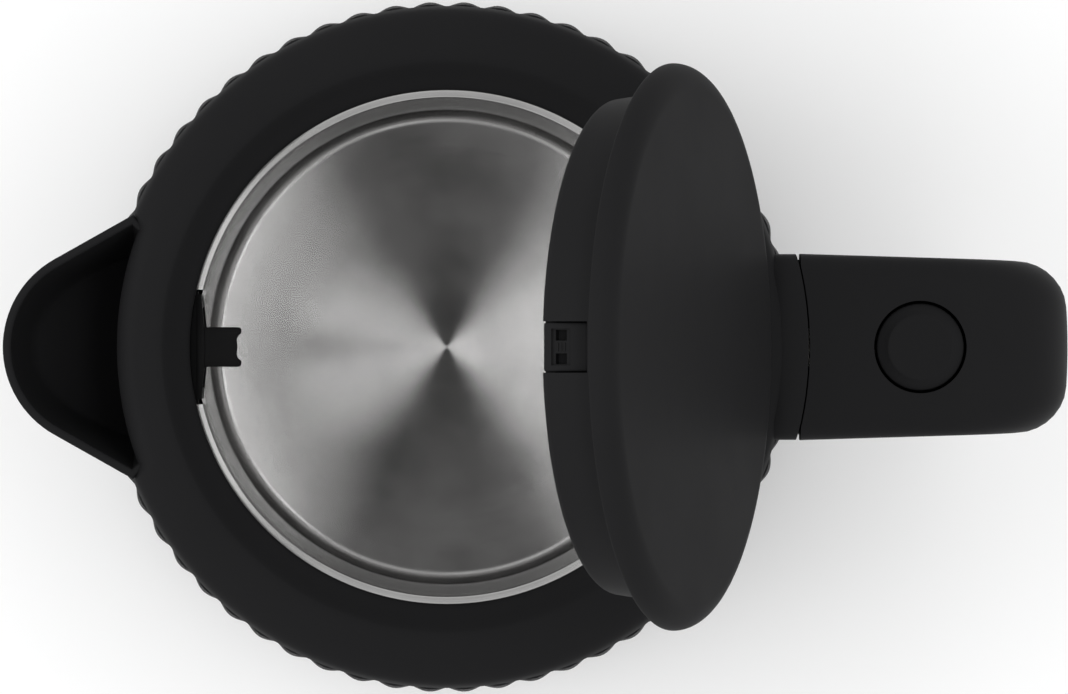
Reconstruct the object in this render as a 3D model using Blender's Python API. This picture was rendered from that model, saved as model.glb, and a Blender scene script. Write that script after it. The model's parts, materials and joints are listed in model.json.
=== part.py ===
"""Cordless electric kettle on a round power base, built as separate pieces.

Dimensions are in millimetres and become metres as each mesh is made. The kettle's axis is
the Z axis, the spout points to -X, the handle to +X, and the base stands on z = 0. The lid is
shown standing open.
"""
from math import atan2, ceil, cos, degrees, pi, radians, sin

import bmesh
import bpy
from mathutils import Matrix, Vector

for old in list(bpy.data.objects):
    bpy.data.objects.remove(old)

MM = 0.001
GAP = 0.35            # clearance between pieces that rest on each other
WELD = 0.003          # points nearer than this are one point after a Boolean

# Body
CREST_Z = 236.0       # highest circle of the collar
OPENING_R = 56.7      # edge of the collar's opening
COLLAR_R = 75.2       # outer edge of the collar
BRIDGE_R = 72.8       # outer edge of the collar where it bridges the spout
SHELL_TOP_Z = 226.0
SHELL_BOTTOM_Z = 24.0
SHELL_R_TOP = 75.7    # radius over the flutes
SHELL_R_BULGE = 77.2
SHELL_R_BOTTOM = 78.0
SHELL_R_IN = 72.8
FLUTES = 60
FLUTE_DEPTH = 1.1
POT_R = 57.0
POT_WALL = 0.8
POT_FLOOR_Z = 71.0
POT_TOP_Z = 226.0
WINDOW_HALF_W = 10.5  # the pot's pouring window
WINDOW_Z = (189.0, 221.5)
BOTTOM_SCREW_R = 68.6
HEAT_PLATE_R = 50.0
ELEMENT_R = 38.0

# Spout, in heights below the crest
SPOUT_TOP = -4.5      # rim of the spout
SPOUT_LOW = -66.0     # where the spout's underside meets the body
SPOUT_TIP_X = -98.0
SPOUT_ROOT_X = -69.3
SPOUT_ROOT_W = 29.2
SPOUT_FLANK = radians(29.4)
SPOUT_WALL = 2.0
BRIDGE_HALF_DEG = 22.8

# Lid
LID_R = 61.2
LID_SKIRT_R = 54.5
LID_SKIRT_H = 12.0
RIM_Z = CREST_Z - 1.0
LID_OPEN_DEG = 72.0
HINGE_X = 66.0
HINGE_Z = CREST_Z - 4.2
KNUCKLE_R = 3.9
PIN_R = 1.2
BORE_R = 1.5
POCKET_HALF_W = 10.3

# Handle
HANDLE_SEAM_R = 80.0
HANDLE_T = 22.0       # thickness of the grip, front to back
HANDLE_WALL = 2.3
BUTTON_X = 104.3
BUTTON_R = 9.6
BUTTON_HOLE_R = 10.2
CRANK_X = 88.0
CRANK_Z = CREST_Z - 18.9
CRANK_ARM = 10.0      # level arm under the button's stem
HANDLE_PATH_TOP = CREST_Z - 3 - HANDLE_T / 2
HANDLE_ROOT_W = 20.5  # half the width where the handle meets the body
HANDLE_CORNER_X = 110.6
HANDLE_CORNER_R = 15.6
GRIP_X = HANDLE_CORNER_X + HANDLE_CORNER_R
GRIP_LEAN = 3.0       # how far the grip leans in towards its foot
FOOT_BEND_R = 20.0
FOOT_Z = 66.0
SPLIT_OUT = -4.0      # parting line of the two handle shells, outward of the middle line
HANDLE_SCREW_Z = (120.0, 170.0)

# Latch
SLIDER_X = (79.6, CRANK_X + 4.6)
SLIDER_Z = (CREST_Z - 13.4, CREST_Z - 10.4)
KEEPER_DEG = -24.0    # direction of the keeper's tail with the lid closed
KEEPER_R = 14.0
TAIL_HALF_DEG = 2.9
NOSE_DEG = (-32.6, -28.4)
NOSE_R = KEEPER_R + GAP

# Switch
SWITCH_X = 58.0
SWITCH_Z = 46.0

# Filter
FILTER_Z = (CREST_Z - 50.0, CREST_Z - 15.6)

# Power base
BASE_R = 79.0
BASE_TOP_Z = 20.0
CONNECTOR_R = 14.5
CONNECTOR_TOP_Z = 33.0
FOOT_R = 6.0
FOOT_PLACE_R = 62.0
BASE_SCREW_R = 48.0
GLAND_Z = 10.6

# Screws
SHAFT_R = 1.5
HOLE_R = 1.85
HEAD_HOLE_R = 3.6


def material(name, colour, roughness, metallic=0.0):
    """A Principled material for one piece."""
    made = bpy.data.materials.new(name)
    made.use_nodes = True
    shader = made.node_tree.nodes["Principled BSDF"]
    shader.inputs["Base Color"].default_value = (*colour, 1.0)
    shader.inputs["Roughness"].default_value = roughness
    shader.inputs["Metallic"].default_value = metallic
    made.diffuse_color = (*colour, 1.0)
    return made


FINISHES = {
    "black_body": ((0.016, 0.016, 0.017), 0.5, 0.0),
    "black_handle": ((0.017, 0.017, 0.018), 0.48, 0.0),
    "black_lid": ((0.018, 0.018, 0.019), 0.46, 0.0),
    "black_base": ((0.015, 0.015, 0.016), 0.5, 0.0),
    "steel": ((0.62, 0.61, 0.6), 0.28, 1.0),
    "spring_steel": ((0.5, 0.5, 0.5), 0.3, 1.0),
    "aluminium": ((0.7, 0.7, 0.71), 0.4, 1.0),
    "brass": ((0.78, 0.6, 0.3), 0.3, 1.0),
    "rubber": ((0.03, 0.03, 0.03), 0.8, 0.0),
    "silicone": ((0.6, 0.6, 0.58), 0.6, 0.0),
    "inner_plastic": ((0.75, 0.74, 0.7), 0.5, 0.0),
    "mesh": ((0.45, 0.45, 0.45), 0.4, 1.0),
}


def add(name, mesh, finish, origin=(0, 0, 0), parent=None):
    """Turn a bmesh in millimetres into a named object whose origin is given in millimetres."""
    bmesh.ops.recalc_face_normals(mesh, faces=mesh.faces)
    place = Vector(origin)
    bmesh.ops.translate(mesh, vec=-place, verts=mesh.verts)
    bmesh.ops.scale(mesh, vec=(MM, MM, MM), verts=mesh.verts)
    data = bpy.data.meshes.new(name)
    mesh.to_mesh(data)
    mesh.free()
    piece = bpy.data.objects.new(name, data)
    bpy.context.collection.objects.link(piece)
    piece.location = place * MM
    if parent:
        piece.parent = parent
        piece.location = (place - Vector(parent["place"])) * MM
    if finish:
        data.materials.append(material(name, *FINISHES[finish]))
        data.shade_smooth()
        data.set_sharp_from_angle(angle=radians(35))
    bpy.context.view_layer.update()
    return piece


def combine(piece, other, operation):
    """Apply a Boolean of other to piece, then remove other."""
    change = piece.modifiers.new(operation.lower(), "BOOLEAN")
    change.operation = operation
    change.solver = "EXACT"
    change.object = other
    bpy.context.view_layer.update()
    graph = bpy.context.evaluated_depsgraph_get()
    result = bpy.data.meshes.new_from_object(piece.evaluated_get(graph))
    piece.modifiers.clear()
    tidy = bmesh.new()
    tidy.from_mesh(result)
    bmesh.ops.remove_doubles(tidy, verts=tidy.verts, dist=WELD * MM)
    bmesh.ops.dissolve_degenerate(tidy, edges=tidy.edges, dist=WELD * MM)
    tidy.to_mesh(result)
    tidy.free()
    piece.data = result
    result.shade_smooth()
    result.set_sharp_from_angle(angle=radians(35))
    bpy.data.objects.remove(other)


def cut(piece, mesh):
    """Take a closed shape away from a piece."""
    combine(piece, add("cutter", mesh, None), "DIFFERENCE")


def join(piece, mesh):
    """Merge a closed shape into a piece."""
    combine(piece, add("addition", mesh, None), "UNION")


def turned(profile, steps=40, centre=(0, 0)):
    """Spin a closed (radius, z) outline about a vertical axis."""
    mesh = bmesh.new()
    points = [mesh.verts.new((centre[0] + r, centre[1], z)) for r, z in profile]
    edges = [mesh.edges.new(pair) for pair in zip(points, points[1:])]
    if min(profile[0][0], profile[-1][0]) > 1e-6:
        edges.append(mesh.edges.new((points[-1], points[0])))
    bmesh.ops.spin(mesh, geom=points + edges, cent=(*centre, 0), axis=(0, 0, 1),
                   angle=2 * pi, steps=steps, use_merge=True)
    bmesh.ops.remove_doubles(mesh, verts=mesh.verts, dist=WELD)
    return mesh


def loft(rings):
    """Skin rings of points and cap both ends."""
    mesh = bmesh.new()
    rows = [[mesh.verts.new(p) for p in ring] for ring in rings]
    count = len(rows[0])
    for a, b in zip(rows, rows[1:]):
        for i in range(count):
            j = (i + 1) % count
            mesh.faces.new((a[i], a[j], b[j], b[i]))
    mesh.faces.new(rows[0][::-1])
    mesh.faces.new(rows[-1])
    bmesh.ops.triangulate(mesh, faces=mesh.faces)
    return mesh


def box(x, y, z):
    """A box from three (low, high) spans."""
    outline = [(x[0], y[0]), (x[1], y[0]), (x[1], y[1]), (x[0], y[1])]
    return loft([[(a, b, level) for a, b in outline] for level in z])


def side_prism(outline, y):
    """Extrude an (x, z) outline along Y."""
    return loft([[(a, level, b) for a, b in outline] for level in y])


def rod(radius, start, end, steps=14):
    """A round bar between two points."""
    start, end = Vector(start), Vector(end)
    turn = (end - start).to_track_quat("Z", "Y").to_matrix()
    ring = [Vector((radius * cos(a), radius * sin(a), 0))
            for a in (2 * pi * k / steps for k in range(steps))]
    return loft([[tuple(at + turn @ p) for p in ring] for at in (start, end)])


def swept_tube(path, radius, sides=10):
    """A round tube along a list of points, with flat ends."""
    points = [Vector(p) for p in path]
    side = None
    rings = []
    for i, point in enumerate(points):
        ahead = (points[min(i + 1, len(points) - 1)] - points[max(i - 1, 0)]).normalized()
        if side is None:
            side = ahead.orthogonal().normalized()
        side = (side - ahead * side.dot(ahead)).normalized()
        up = ahead.cross(side)
        rings.append([tuple(point + radius * (cos(a) * side + sin(a) * up))
                      for a in (2 * pi * k / sides for k in range(sides))])
    return loft(rings)


def arc(centre, radius, start_deg, end_deg, count):
    """Points of a circular arc, both ends included."""
    spans = [radians(start_deg + (end_deg - start_deg) * k / (count - 1)) for k in range(count)]
    return [(centre[0] + radius * cos(a), centre[1] + radius * sin(a)) for a in spans]


def coil(centre, axis, radius, wire, length, turns, per_turn=12):
    """A helical spring whose axis starts at centre."""
    axis = Vector(axis).normalized()
    side = axis.orthogonal().normalized()
    up = axis.cross(side)
    count = ceil(turns * per_turn)
    path = []
    for k in range(count + 1):
        a = 2 * pi * turns * k / count
        path.append(tuple(Vector(centre) + axis * (length * k / count)
                          + radius * (cos(a) * side + sin(a) * up)))
    return swept_tube(path, wire / 2, 4)


def round_places(radius, count, first_deg):
    """Evenly spaced points on a circle."""
    angles = [radians(first_deg + 360 * k / count) for k in range(count)]
    return [(radius * cos(a), radius * sin(a)) for a in angles]


# --- power base ---------------------------------------------------------------------------

def screw(name, x, y, head_z, tip_z, head_r=3.2, shaft_r=SHAFT_R):
    """An upright screw with its head at the bottom."""
    head_top = head_z + 1.4
    profile = [(0, head_z), (head_r - 0.4, head_z), (head_r, head_z + 0.4), (head_r, head_top),
               (shaft_r, head_top), (shaft_r, tip_z - 1), (0, tip_z)]
    return add(name, turned(profile, 10, (x, y)), "spring_steel", (x, y, head_z))


def screw_hole(x, y, face_z, top_z):
    """The counterbore and clearance hole for a screw driven up from face_z."""
    seat = face_z + 1.9
    profile = [(0, face_z - 5), (HEAD_HOLE_R, face_z - 5), (HEAD_HOLE_R, seat), (HOLE_R, seat),
               (HOLE_R, top_z), (0, top_z)]
    return turned(profile, 12, (x, y))


def power_base():
    """Base shell, plate, feet, cord gland, screws and the upright connector."""
    outer = [(BASE_R, 2.5), (BASE_R, 13.0), (BASE_R - 0.8, 16.6), (BASE_R - 3.2, 19.1),
             (BASE_R - 6.5, BASE_TOP_Z), (CONNECTOR_R + 0.4, BASE_TOP_Z)]
    inner = [(CONNECTOR_R + 0.4, 17.6), (BASE_R - 7, 17.6), (BASE_R - 4.6, 16.4),
             (BASE_R - 2.5, 13.0), (BASE_R - 2.5, 2.5)]
    top = add("power_base_top", turned(outer + inner), "black_base")
    bottom = add("power_base_bottom", turned([(0, 0), (12, 0), (13, 1), (BASE_R - 2.9, 1),
                                              (BASE_R - 2.9, 4), (0, 4)]), "black_base")
    for k, (x, y) in enumerate(round_places(BASE_SCREW_R, 3, 90)):
        join(top, rod(4.2, (x, y, 4.4), (x, y, 18.5), 10))
        cut(top, rod(HOLE_R, (x, y, 3), (x, y, 13), 10))
        cut(bottom, screw_hole(x, y, 1, 6))
        screw(f"base_screw_{k + 1}", x, y, 1.2, 12)
    for k, (x, y) in enumerate(round_places(FOOT_PLACE_R, 4, 45)):
        cut(bottom, rod(FOOT_R + GAP, (x, y, -1), (x, y, 3)))
        add(f"base_foot_{k + 1}", turned([(0, 0), (FOOT_R - 0.6, 0), (FOOT_R, 0.6),
                                          (FOOT_R, 2.65), (0, 2.65)], 12, (x, y)), "rubber")
    level = GLAND_Z
    gland_r, cord_r = 5.2, 3.3
    cut(top, rod(gland_r + 0.4, (BASE_R - 5, 0, level), (BASE_R + 5, 0, level)))
    gland = add("cord_gland", rod(gland_r, (BASE_R - 7, 0, level), (BASE_R + 2.5, 0, level)),
                "rubber")
    join(gland, rod(gland_r + 0.9, (BASE_R - 8, 0, level), (BASE_R - 6, 0, level)))
    cut(gland, rod(cord_r, (BASE_R - 9, 0, level), (BASE_R + 5, 0, level)))
    tower_top = CONNECTOR_TOP_Z
    tower = [(3.4, 14), (3.4, tower_top), (5.0, tower_top), (5.0, 22), (7.6, 22),
             (7.6, tower_top), (9.2, tower_top), (9.2, 22), (11.8, 22), (11.8, tower_top),
             (CONNECTOR_R - 0.6, tower_top), (CONNECTOR_R, tower_top - 0.6),
             (CONNECTOR_R, 17.2), (19, 17.2), (19, 14)]
    add("base_connector", turned(tower, 24), "black_base")
    for name, inside, outside in (("contact_ring_live", 5.35, 5.95),
                                  ("contact_ring_neutral", 10.8, 11.45)):
        add(name, turned([(inside, 22.4), (outside, 22.4), (outside, 31.5), (inside, 31.5)], 24),
            "brass")
    add("earth_pin", turned([(0, 12), (3, 12), (3, 36.6), (2.2, 37.8), (0, 38.2)], 24), "brass")


# --- kettle body --------------------------------------------------------------------------

def shell_radius(z):
    """Radius over the flutes: it swells just below the collar, then runs nearly straight."""
    bulge_z = SHELL_TOP_Z - 50
    if z > bulge_z:
        t = (z - bulge_z) / (SHELL_TOP_Z - bulge_z)
        return SHELL_R_BULGE + (SHELL_R_TOP - SHELL_R_BULGE) * t * t
    t = (bulge_z - z) / (bulge_z - SHELL_BOTTOM_Z)
    return SHELL_R_BULGE + (SHELL_R_BOTTOM - SHELL_R_BULGE) * t


def outer_shell():
    """Fluted body shell with the spout's opening, two slots and three screw bosses."""
    per_flute = 2
    count = FLUTES * per_flute

    def ring(radius, z, depth):
        points = []
        for k in range(count):
            wave = abs(sin(pi * k / per_flute))
            r = radius - depth * (1 - wave)
            a = 2 * pi * k / count
            points.append((r * cos(a), r * sin(a), z))
        return points

    levels = [SHELL_TOP_Z, SHELL_TOP_Z - 50, SHELL_BOTTOM_Z + 2]
    rings = [ring(shell_radius(z), z, FLUTE_DEPTH) for z in levels]
    rings.append(ring(SHELL_R_BOTTOM - 1.6, SHELL_BOTTOM_Z, 0))
    shell = add("outer_shell", loft(rings), "black_body")
    cut(shell, turned([(0, 0), (SHELL_R_IN, 0), (SHELL_R_IN, 250), (0, 250)], 36))
    cut(shell, spout_body(-GAP, (-66.0, 0.0)))
    cut(shell, box((66, 82), (-3.2, 3.2), (CREST_Z - 21, CREST_Z)))
    cut(shell, box((66, 82), (-8, 8), (40, 53)))
    for x, y in round_places(BOTTOM_SCREW_R, 3, 60):
        join(shell, rod(4.6, (x, y, SHELL_BOTTOM_Z + 0.3), (x, y, 46), 16))
        cut(shell, rod(HOLE_R, (x, y, 20), (x, y, 37), 12))
    return shell


def collar_profile():
    """Ring section as (radius, z): the domed top, then the underside."""
    top = [(OPENING_R, -5.4), (60.2, -2.5), (62.6, -0.6), (66.2, 0), (70.2, -0.5), (73.5, -2.9),
           (COLLAR_R, -7.0), (COLLAR_R, -9.6)]
    under = [(72.7, -9.6), (71.4, -4.9), (69.6, -3.3), (64.2, -3.1), (60.4, -6.0), (60.4, -8.0),
             (OPENING_R, -8.0)]
    return [(r, CREST_Z + z) for r, z in top + under]


def collar():
    """Collar with the hinge boss and the short lug that carries the handle."""
    seam_r = HANDLE_SEAM_R - 0.3
    shell_side = SHELL_R_BOTTOM
    under = CREST_Z - 9.9
    slot_half_w = 2.4
    piece = add("collar", turned(collar_profile(), 42), "black_body")
    boss = [(61.8, -13.5), (61.8, -6.0), (64.0, -1.4), (69.0, -1.7), (70.8, -3.6), (70.8, -13.5)]
    join(piece, side_prism([(x, CREST_Z + z) for x, z in boss], (-14, 14)))
    lug = add("lug", loft([handle_section(x) for x in (71.4, 90)]), None)
    within_seam = turned([(0, 150), (seam_r, 150), (seam_r, 260), (0, 260)], 60)
    combine(lug, add("limit", within_seam, None), "INTERSECT")
    cut(lug, turned([(0, 150), (shell_side, 150), (shell_side, under), (BRIDGE_R, under),
                     (BRIDGE_R, 260), (0, 260)], 60))
    combine(piece, lug, "UNION")
    cut(piece, box((52, 70.6), (-POCKET_HALF_W, POCKET_HALF_W), (CREST_Z - 8.7, CREST_Z + 3)))
    cut(piece, box((56, 90), (-slot_half_w, slot_half_w), (CREST_Z - 23, CREST_Z - 6.2)))
    cut(piece, box((63, 74), (-slot_half_w, slot_half_w), (CREST_Z - 23, CREST_Z - 4)))
    cut(piece, rod(BORE_R, (HINGE_X, -13, HINGE_Z), (HINGE_X, 13, HINGE_Z), 16))
    cut(piece, bridge_cutter())
    return piece


def bridge_cutter():
    """What is taken off the collar's outer edge where it bridges over the spout."""
    half = radians(BRIDGE_HALF_DEG)
    count = 12
    inner = [(BRIDGE_R * cos(pi + a), BRIDGE_R * sin(pi + a)) for a in
             (half - 2 * half * k / count for k in range(count + 1))]
    outer = [(80 * cos(pi + a), 80 * sin(pi + a)) for a in
             (-half + 2 * half * k / count for k in range(count + 1))]
    return loft([[(x, y, z) for x, y in inner + outer] for z in (CREST_Z - 30, CREST_Z + 5)])


def spout_outline(depth, inset):
    """Plan outline of the spout at a share of its depth: funnel, straight flanks, round tip."""
    tip = SPOUT_TIP_X + 27.5 * depth ** 1.3 + inset
    half_w = SPOUT_ROOT_W - 11 * depth - inset * 1.15
    slope = SPOUT_FLANK
    reach = SPOUT_ROOT_X - tip
    radius = (half_w * cos(slope) - sin(slope) * reach) / (1 - sin(slope))
    opening = pi / 2 - slope
    if radius * (1 - cos(opening)) > reach - 0.5:
        radius = (reach ** 2 + half_w ** 2) / (2 * reach)
        opening = atan2(half_w, radius - reach) * 0.97
    turn = degrees(opening)
    nose = arc((tip + radius, 0), radius, 180 - turn, 180 + turn, 11)
    throat = min(13.0, half_w) - inset
    mouth = -56.0 + 3 * inset
    return ([(mouth, throat), (-60, throat), (SPOUT_ROOT_X, half_w)] + nose
            + [(SPOUT_ROOT_X, -half_w), (-60, -throat), (mouth, -throat)])


def spout_body(inset, levels):
    """The spout's outer form, or its hollow when inset, between two heights below the crest."""
    low, high = levels
    count = 7
    rings = []
    for k in range(count):
        z = low + (high - low) * k / (count - 1)
        depth = min(max((SPOUT_TOP - z) / (SPOUT_TOP - SPOUT_LOW), 0), 1)
        rings.append([(x, y, CREST_Z + z) for x, y in spout_outline(depth, inset)])
    return loft(rings)


def spout():
    """Beak with a channel above its floor and a hollow heel below it."""
    floor, ceiling = -47.0, -49.5
    piece = add("spout", spout_body(0, (SPOUT_LOW + 4, SPOUT_TOP)), "black_body")
    cut(piece, spout_body(SPOUT_WALL, (floor, 6)))
    cut(piece, spout_body(SPOUT_WALL, (SPOUT_LOW - 4, ceiling)))
    pot_side = POT_R + POT_WALL + GAP
    flange_z = POT_TOP_Z - 1.3
    bridge_z = CREST_Z - 10.2
    bridge_side = BRIDGE_R + GAP
    cut(piece, turned([(0, 100), (pot_side, 100), (pot_side, flange_z), (63, flange_z),
                       (63, bridge_z), (bridge_side, bridge_z), (bridge_side, 256), (0, 256)], 60))
    return piece


def inner_pot():
    """Drawn steel pot with a flange and a pouring window, and the gasket on its flange."""
    fillet_r, flange_r = 3.2, 61.3
    turn = (POT_R - fillet_r, POT_FLOOR_Z + fillet_r)
    fillet = arc(turn, fillet_r, 0, -90, 4)
    fillet_out = arc(turn, fillet_r + POT_WALL, -90, 0, 4)
    profile = ([(POT_R, POT_TOP_Z)] + fillet + [(0, POT_FLOOR_Z), (0, POT_FLOOR_Z - POT_WALL)]
               + fillet_out + [(POT_R + POT_WALL, POT_TOP_Z - POT_WALL),
                               (flange_r, POT_TOP_Z - POT_WALL), (flange_r, POT_TOP_Z)])
    start = profile.index((0, POT_FLOOR_Z - POT_WALL))
    pot = add("inner_pot", turned(profile[start:] + profile[:start], 44), "steel")
    cut(pot, box((-70, -45), (-WINDOW_HALF_W, WINDOW_HALF_W), WINDOW_Z))
    cut(pot, box((59.6, 64), (-2.5, 2.5), (POT_TOP_Z - 3, POT_TOP_Z + 3)))
    low, high = POT_TOP_Z + GAP, CREST_Z - 8.0 - GAP
    add("pot_gasket", turned([(57.6, low), (60.2, low), (60.2, high), (57.6, high)], 36),
        "silicone")


def bottom_parts():
    """Bottom cover, connector socket, control unit, heat plate and heating element."""
    cover = add("bottom_cover", turned([(16.3, 20.5), (69.5, 20.5), (73.6, 22.4), (74.4, 23.6),
                                        (16.3, 23.6)]), "black_base")
    for k, (x, y) in enumerate(round_places(BOTTOM_SCREW_R, 3, 60)):
        cut(cover, screw_hole(x, y, 20.5, 26))
        screw(f"bottom_screw_{k + 1}", x, y, 20.8, 35)
    socket = [(0, 38.8), (3.5, 38.8), (3.5, 35.6), (15.3, 35.6), (15.3, 21), (15.9, 21),
              (15.9, 23.95), (22, 23.95), (22, 25.6), (18, 25.6), (18, 39.6), (0, 39.6)]
    add("connector_socket", turned(socket, 24), "inner_plastic")
    for name, near in (("socket_contact_live", 6.35), ("socket_contact_neutral", 9.6)):
        add(name, box((near, near + 0.6), (-1, 1), (24, 35.3)), "brass")
    control = add("control_unit", box((-22, 22), (-20, 20), (40, 57)), "inner_plastic")
    join(control, rod(9, (0, 0, 55), (0, 0, 63.6)))
    add("bimetal_disc", turned([(0, 64), (9.5, 64), (9.5, 64.5), (6, 65), (0, 65.3)], 24), "brass")
    add("heat_plate", turned([(0, 65.8), (HEAT_PLATE_R - 0.6, 65.8), (HEAT_PLATE_R, 66.4),
                               (HEAT_PLATE_R, 69.8), (0, 69.8)], 32), "aluminium")
    ring = [(ELEMENT_R * cos(radians(a)), ELEMENT_R * sin(radians(a)), 62.0)
            for a in range(-155, 156, 15)]
    end_x, end_y = ring[-1][:2]
    down = [(end_x - 0.6, end_y - 2.2, 59.5), (end_x - 0.8, end_y - 3, 52)]
    rise = [(x, -y, z) for x, y, z in reversed(down)]
    add("heating_element", swept_tube(rise + ring + down, 3.2, 7), "steel")


def steam_tube():
    """Pipe from under the collar down to the control unit, beside the handle."""
    a = radians(24)
    top, low = Vector((66.2 * cos(a), 66.2 * sin(a), 0)), Vector((26.5 * cos(a), 26.5 * sin(a), 0))
    bend = [(top.x - 6 * (1 - cos(t)), top.y * (1 - 6 * (1 - cos(t)) / top.x), 56 - 6 * sin(t))
            for t in (radians(15 * k) for k in range(7))]
    path = [(top.x, top.y, CREST_Z - 12.5)] + bend + [(low.x, low.y, 50)]
    add("steam_tube", swept_tube(path, 3.4, 10), "silicone")


# --- handle -------------------------------------------------------------------------------

def handle_path():
    """Middle line of the handle as (x, z, direction in degrees) from the seam to the foot."""
    stations = [(x, HANDLE_PATH_TOP, 0.0) for x in (74.0, 92.0, HANDLE_CORNER_X)]
    top_bend = HANDLE_PATH_TOP - HANDLE_CORNER_R
    for k in range(1, 6):
        a = 90.0 * k / 5
        stations.append((HANDLE_CORNER_X + HANDLE_CORNER_R * sin(radians(a)),
                         top_bend + HANDLE_CORNER_R * cos(radians(a)), -a))
    low_bend = FOOT_Z + FOOT_BEND_R
    for t in (0.35, 0.7):
        stations.append((GRIP_X - GRIP_LEAN * t, top_bend + (low_bend - top_bend) * t, -90.0))
    foot_x = GRIP_X - GRIP_LEAN - FOOT_BEND_R
    for k in range(5):
        a = 90.0 * k / 4
        stations.append((foot_x + FOOT_BEND_R * cos(radians(a)),
                         low_bend - FOOT_BEND_R * sin(radians(a)), -90 - a))
    stations += [(x, FOOT_Z, -180.0) for x in (92.0, 74.0)]
    return stations


def handle_width(x):
    """Half the handle's width, which narrows slowly away from the body."""
    return HANDLE_ROOT_W - 0.045 * (x - HANDLE_SEAM_R)


def section_outline(half_w, half_t, corner, inset):
    """Rounded rectangle as (across, outward) points, starting at the outward face."""
    w, t, r = half_w - inset, half_t - inset, max(corner - inset, 0.8)
    points = []
    for cx, cy, start in ((w - r, t - r, 90), (w - r, -(t - r), 0), (-(w - r), -(t - r), -90),
                          (-(w - r), t - r, -180)):
        points += arc((cx, cy), r, start, start - 90, 3)
    return points


def handle_section(x):
    """Upright section across the handle's level top part at x."""
    half_w = handle_width(max(x, HANDLE_SEAM_R))
    return [(x, y, HANDLE_PATH_TOP + up) for y, up in
            section_outline(half_w, HANDLE_T / 2, 5.0, 0)]


def handle_form(inset, stretch=0.0):
    """The handle's outer form along its path, or its hollow when inset."""
    rings = []
    for x, z, direction in handle_path():
        a = radians(direction)
        outward = Vector((-sin(a), 0, cos(a)))
        grip = 0.0 if direction == 0.0 else min(1.0, -direction / 90)
        half_w = handle_width(x) - 0.6 * grip
        thick = HANDLE_T / 2 - 0.6 * grip
        rings.append([tuple(Vector((x, 0, z)) + Vector((0, y, 0)) + outward * out)
                      for y, out in section_outline(half_w, thick, 5.0 + 4.0 * grip, inset)])
    if stretch:
        first, last = rings[0], rings[-1]
        rings[0] = [(x - stretch, y, z) for x, y, z in first]
        rings[-1] = [(x - stretch, y, z) for x, y, z in last]
    return loft(rings)


def split_strip(outward_from, outward_to):
    """A band along the handle's path, wider than the handle, between two outward offsets."""
    rings = []
    for x, z, direction in handle_path():
        a = radians(direction)
        outward = Vector((-sin(a), 0, cos(a)))
        corners = [(-30, outward_from), (30, outward_from), (30, outward_to), (-30, outward_to)]
        rings.append([tuple(Vector((x, y, z)) + outward * out) for y, out in corners])
    return loft(rings)


def handle():
    """Outer shell and inner cover of the handle, screwed together through the grip."""
    pieces = []
    for name, low, high in (("handle_outer_shell", SPLIT_OUT + 0.15, 13.0),
                            ("handle_inner_cover", -12.5, SPLIT_OUT - 0.15)):
        piece = add(name, handle_form(0), "black_handle")
        cut(piece, handle_form(HANDLE_WALL, stretch=4))
        combine(piece, add("band", split_strip(low, high), None), "INTERSECT")
        cut(piece, turned([(0, 100), (HANDLE_SEAM_R, 100), (HANDLE_SEAM_R, 260), (0, 260)], 60))
        cut(piece, turned([(0, 30), (78.4, 30), (78.4, 100), (0, 100)], 60))
        pieces.append(piece)
    outer, inner = pieces
    cut(outer, rod(BUTTON_HOLE_R, (BUTTON_X, 0, CREST_Z - 8), (BUTTON_X, 0, CREST_Z + 3), 28))
    for side in (-1, 1):
        ear = box((CRANK_X - 2.6, CRANK_X + 2.6), tuple(sorted((side * 3.4, side * 5.6))),
                  (CREST_Z - 24.2, CRANK_Z + 2.0))
        join(inner, ear)
    cut(inner, rod(1.3, (CRANK_X, -7, CRANK_Z), (CRANK_X, 7, CRANK_Z), 12))
    for k, z in enumerate(HANDLE_SCREW_Z):
        x = GRIP_X - GRIP_LEAN * (HANDLE_PATH_TOP - HANDLE_CORNER_R - z) / 140
        inner_face = x - HANDLE_T / 2
        join(inner, rod(4.9, (inner_face + 1.2, 0, z), (inner_face + 6.4, 0, z), 16))
        cut(inner, rod(HOLE_R, (inner_face - 4, 0, z), (inner_face + 8, 0, z), 12))
        cut(inner, rod(3.5, (inner_face - 4, 0, z), (inner_face + 2.7, 0, z), 16))
        join(outer, rod(4.2, (inner_face + 7.6, 0, z), (inner_face + 20.5, 0, z), 16))
        cut(outer, rod(HOLE_R, (inner_face + 6, 0, z), (inner_face + 16, 0, z), 12))
        head = rod(3.1, (inner_face + 1.0, 0, z), (inner_face + 2.4, 0, z), 16)
        fixing = add(f"handle_screw_{k + 1}", head, "spring_steel", (inner_face, 0, z))
        join(fixing, rod(SHAFT_R, (inner_face + 2.0, 0, z), (inner_face + 14.5, 0, z), 12))


def lid_button():
    """Round button with a stem over the crank, on a coil spring."""
    top = CREST_Z - 2.4
    cap = [(0, top + 0.2), (7.3, top), (8.9, top - 0.5), (BUTTON_R, top - 1.4),
           (BUTTON_R, top - 6), (BUTTON_R - 2, top - 6), (BUTTON_R - 2, top - 2.4), (0, top - 2.4)]
    button = add("lid_button", turned(cap, 28, (BUTTON_X, 0)), "black_handle",
                 (BUTTON_X, 0, top))
    tip_x = CRANK_X + CRANK_ARM
    stem = [(tip_x - 0.6, CRANK_Z + 1.7), (tip_x + 1.4, CRANK_Z + 1.7), (tip_x + 3.4, top - 1.6),
            (tip_x - 0.6, top - 1.6)]
    join(button, side_prism(stem, (-2.4, 2.4)))
    spring_foot = CREST_Z - 22.2
    spring = coil((BUTTON_X + 3.8, 0, spring_foot), (0, 0, 1), 2.6, 0.7,
                  top - 3.0 - spring_foot, 5, 8)
    add("button_spring", spring, "spring_steel", (BUTTON_X + 3.8, 0, spring_foot))


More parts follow.
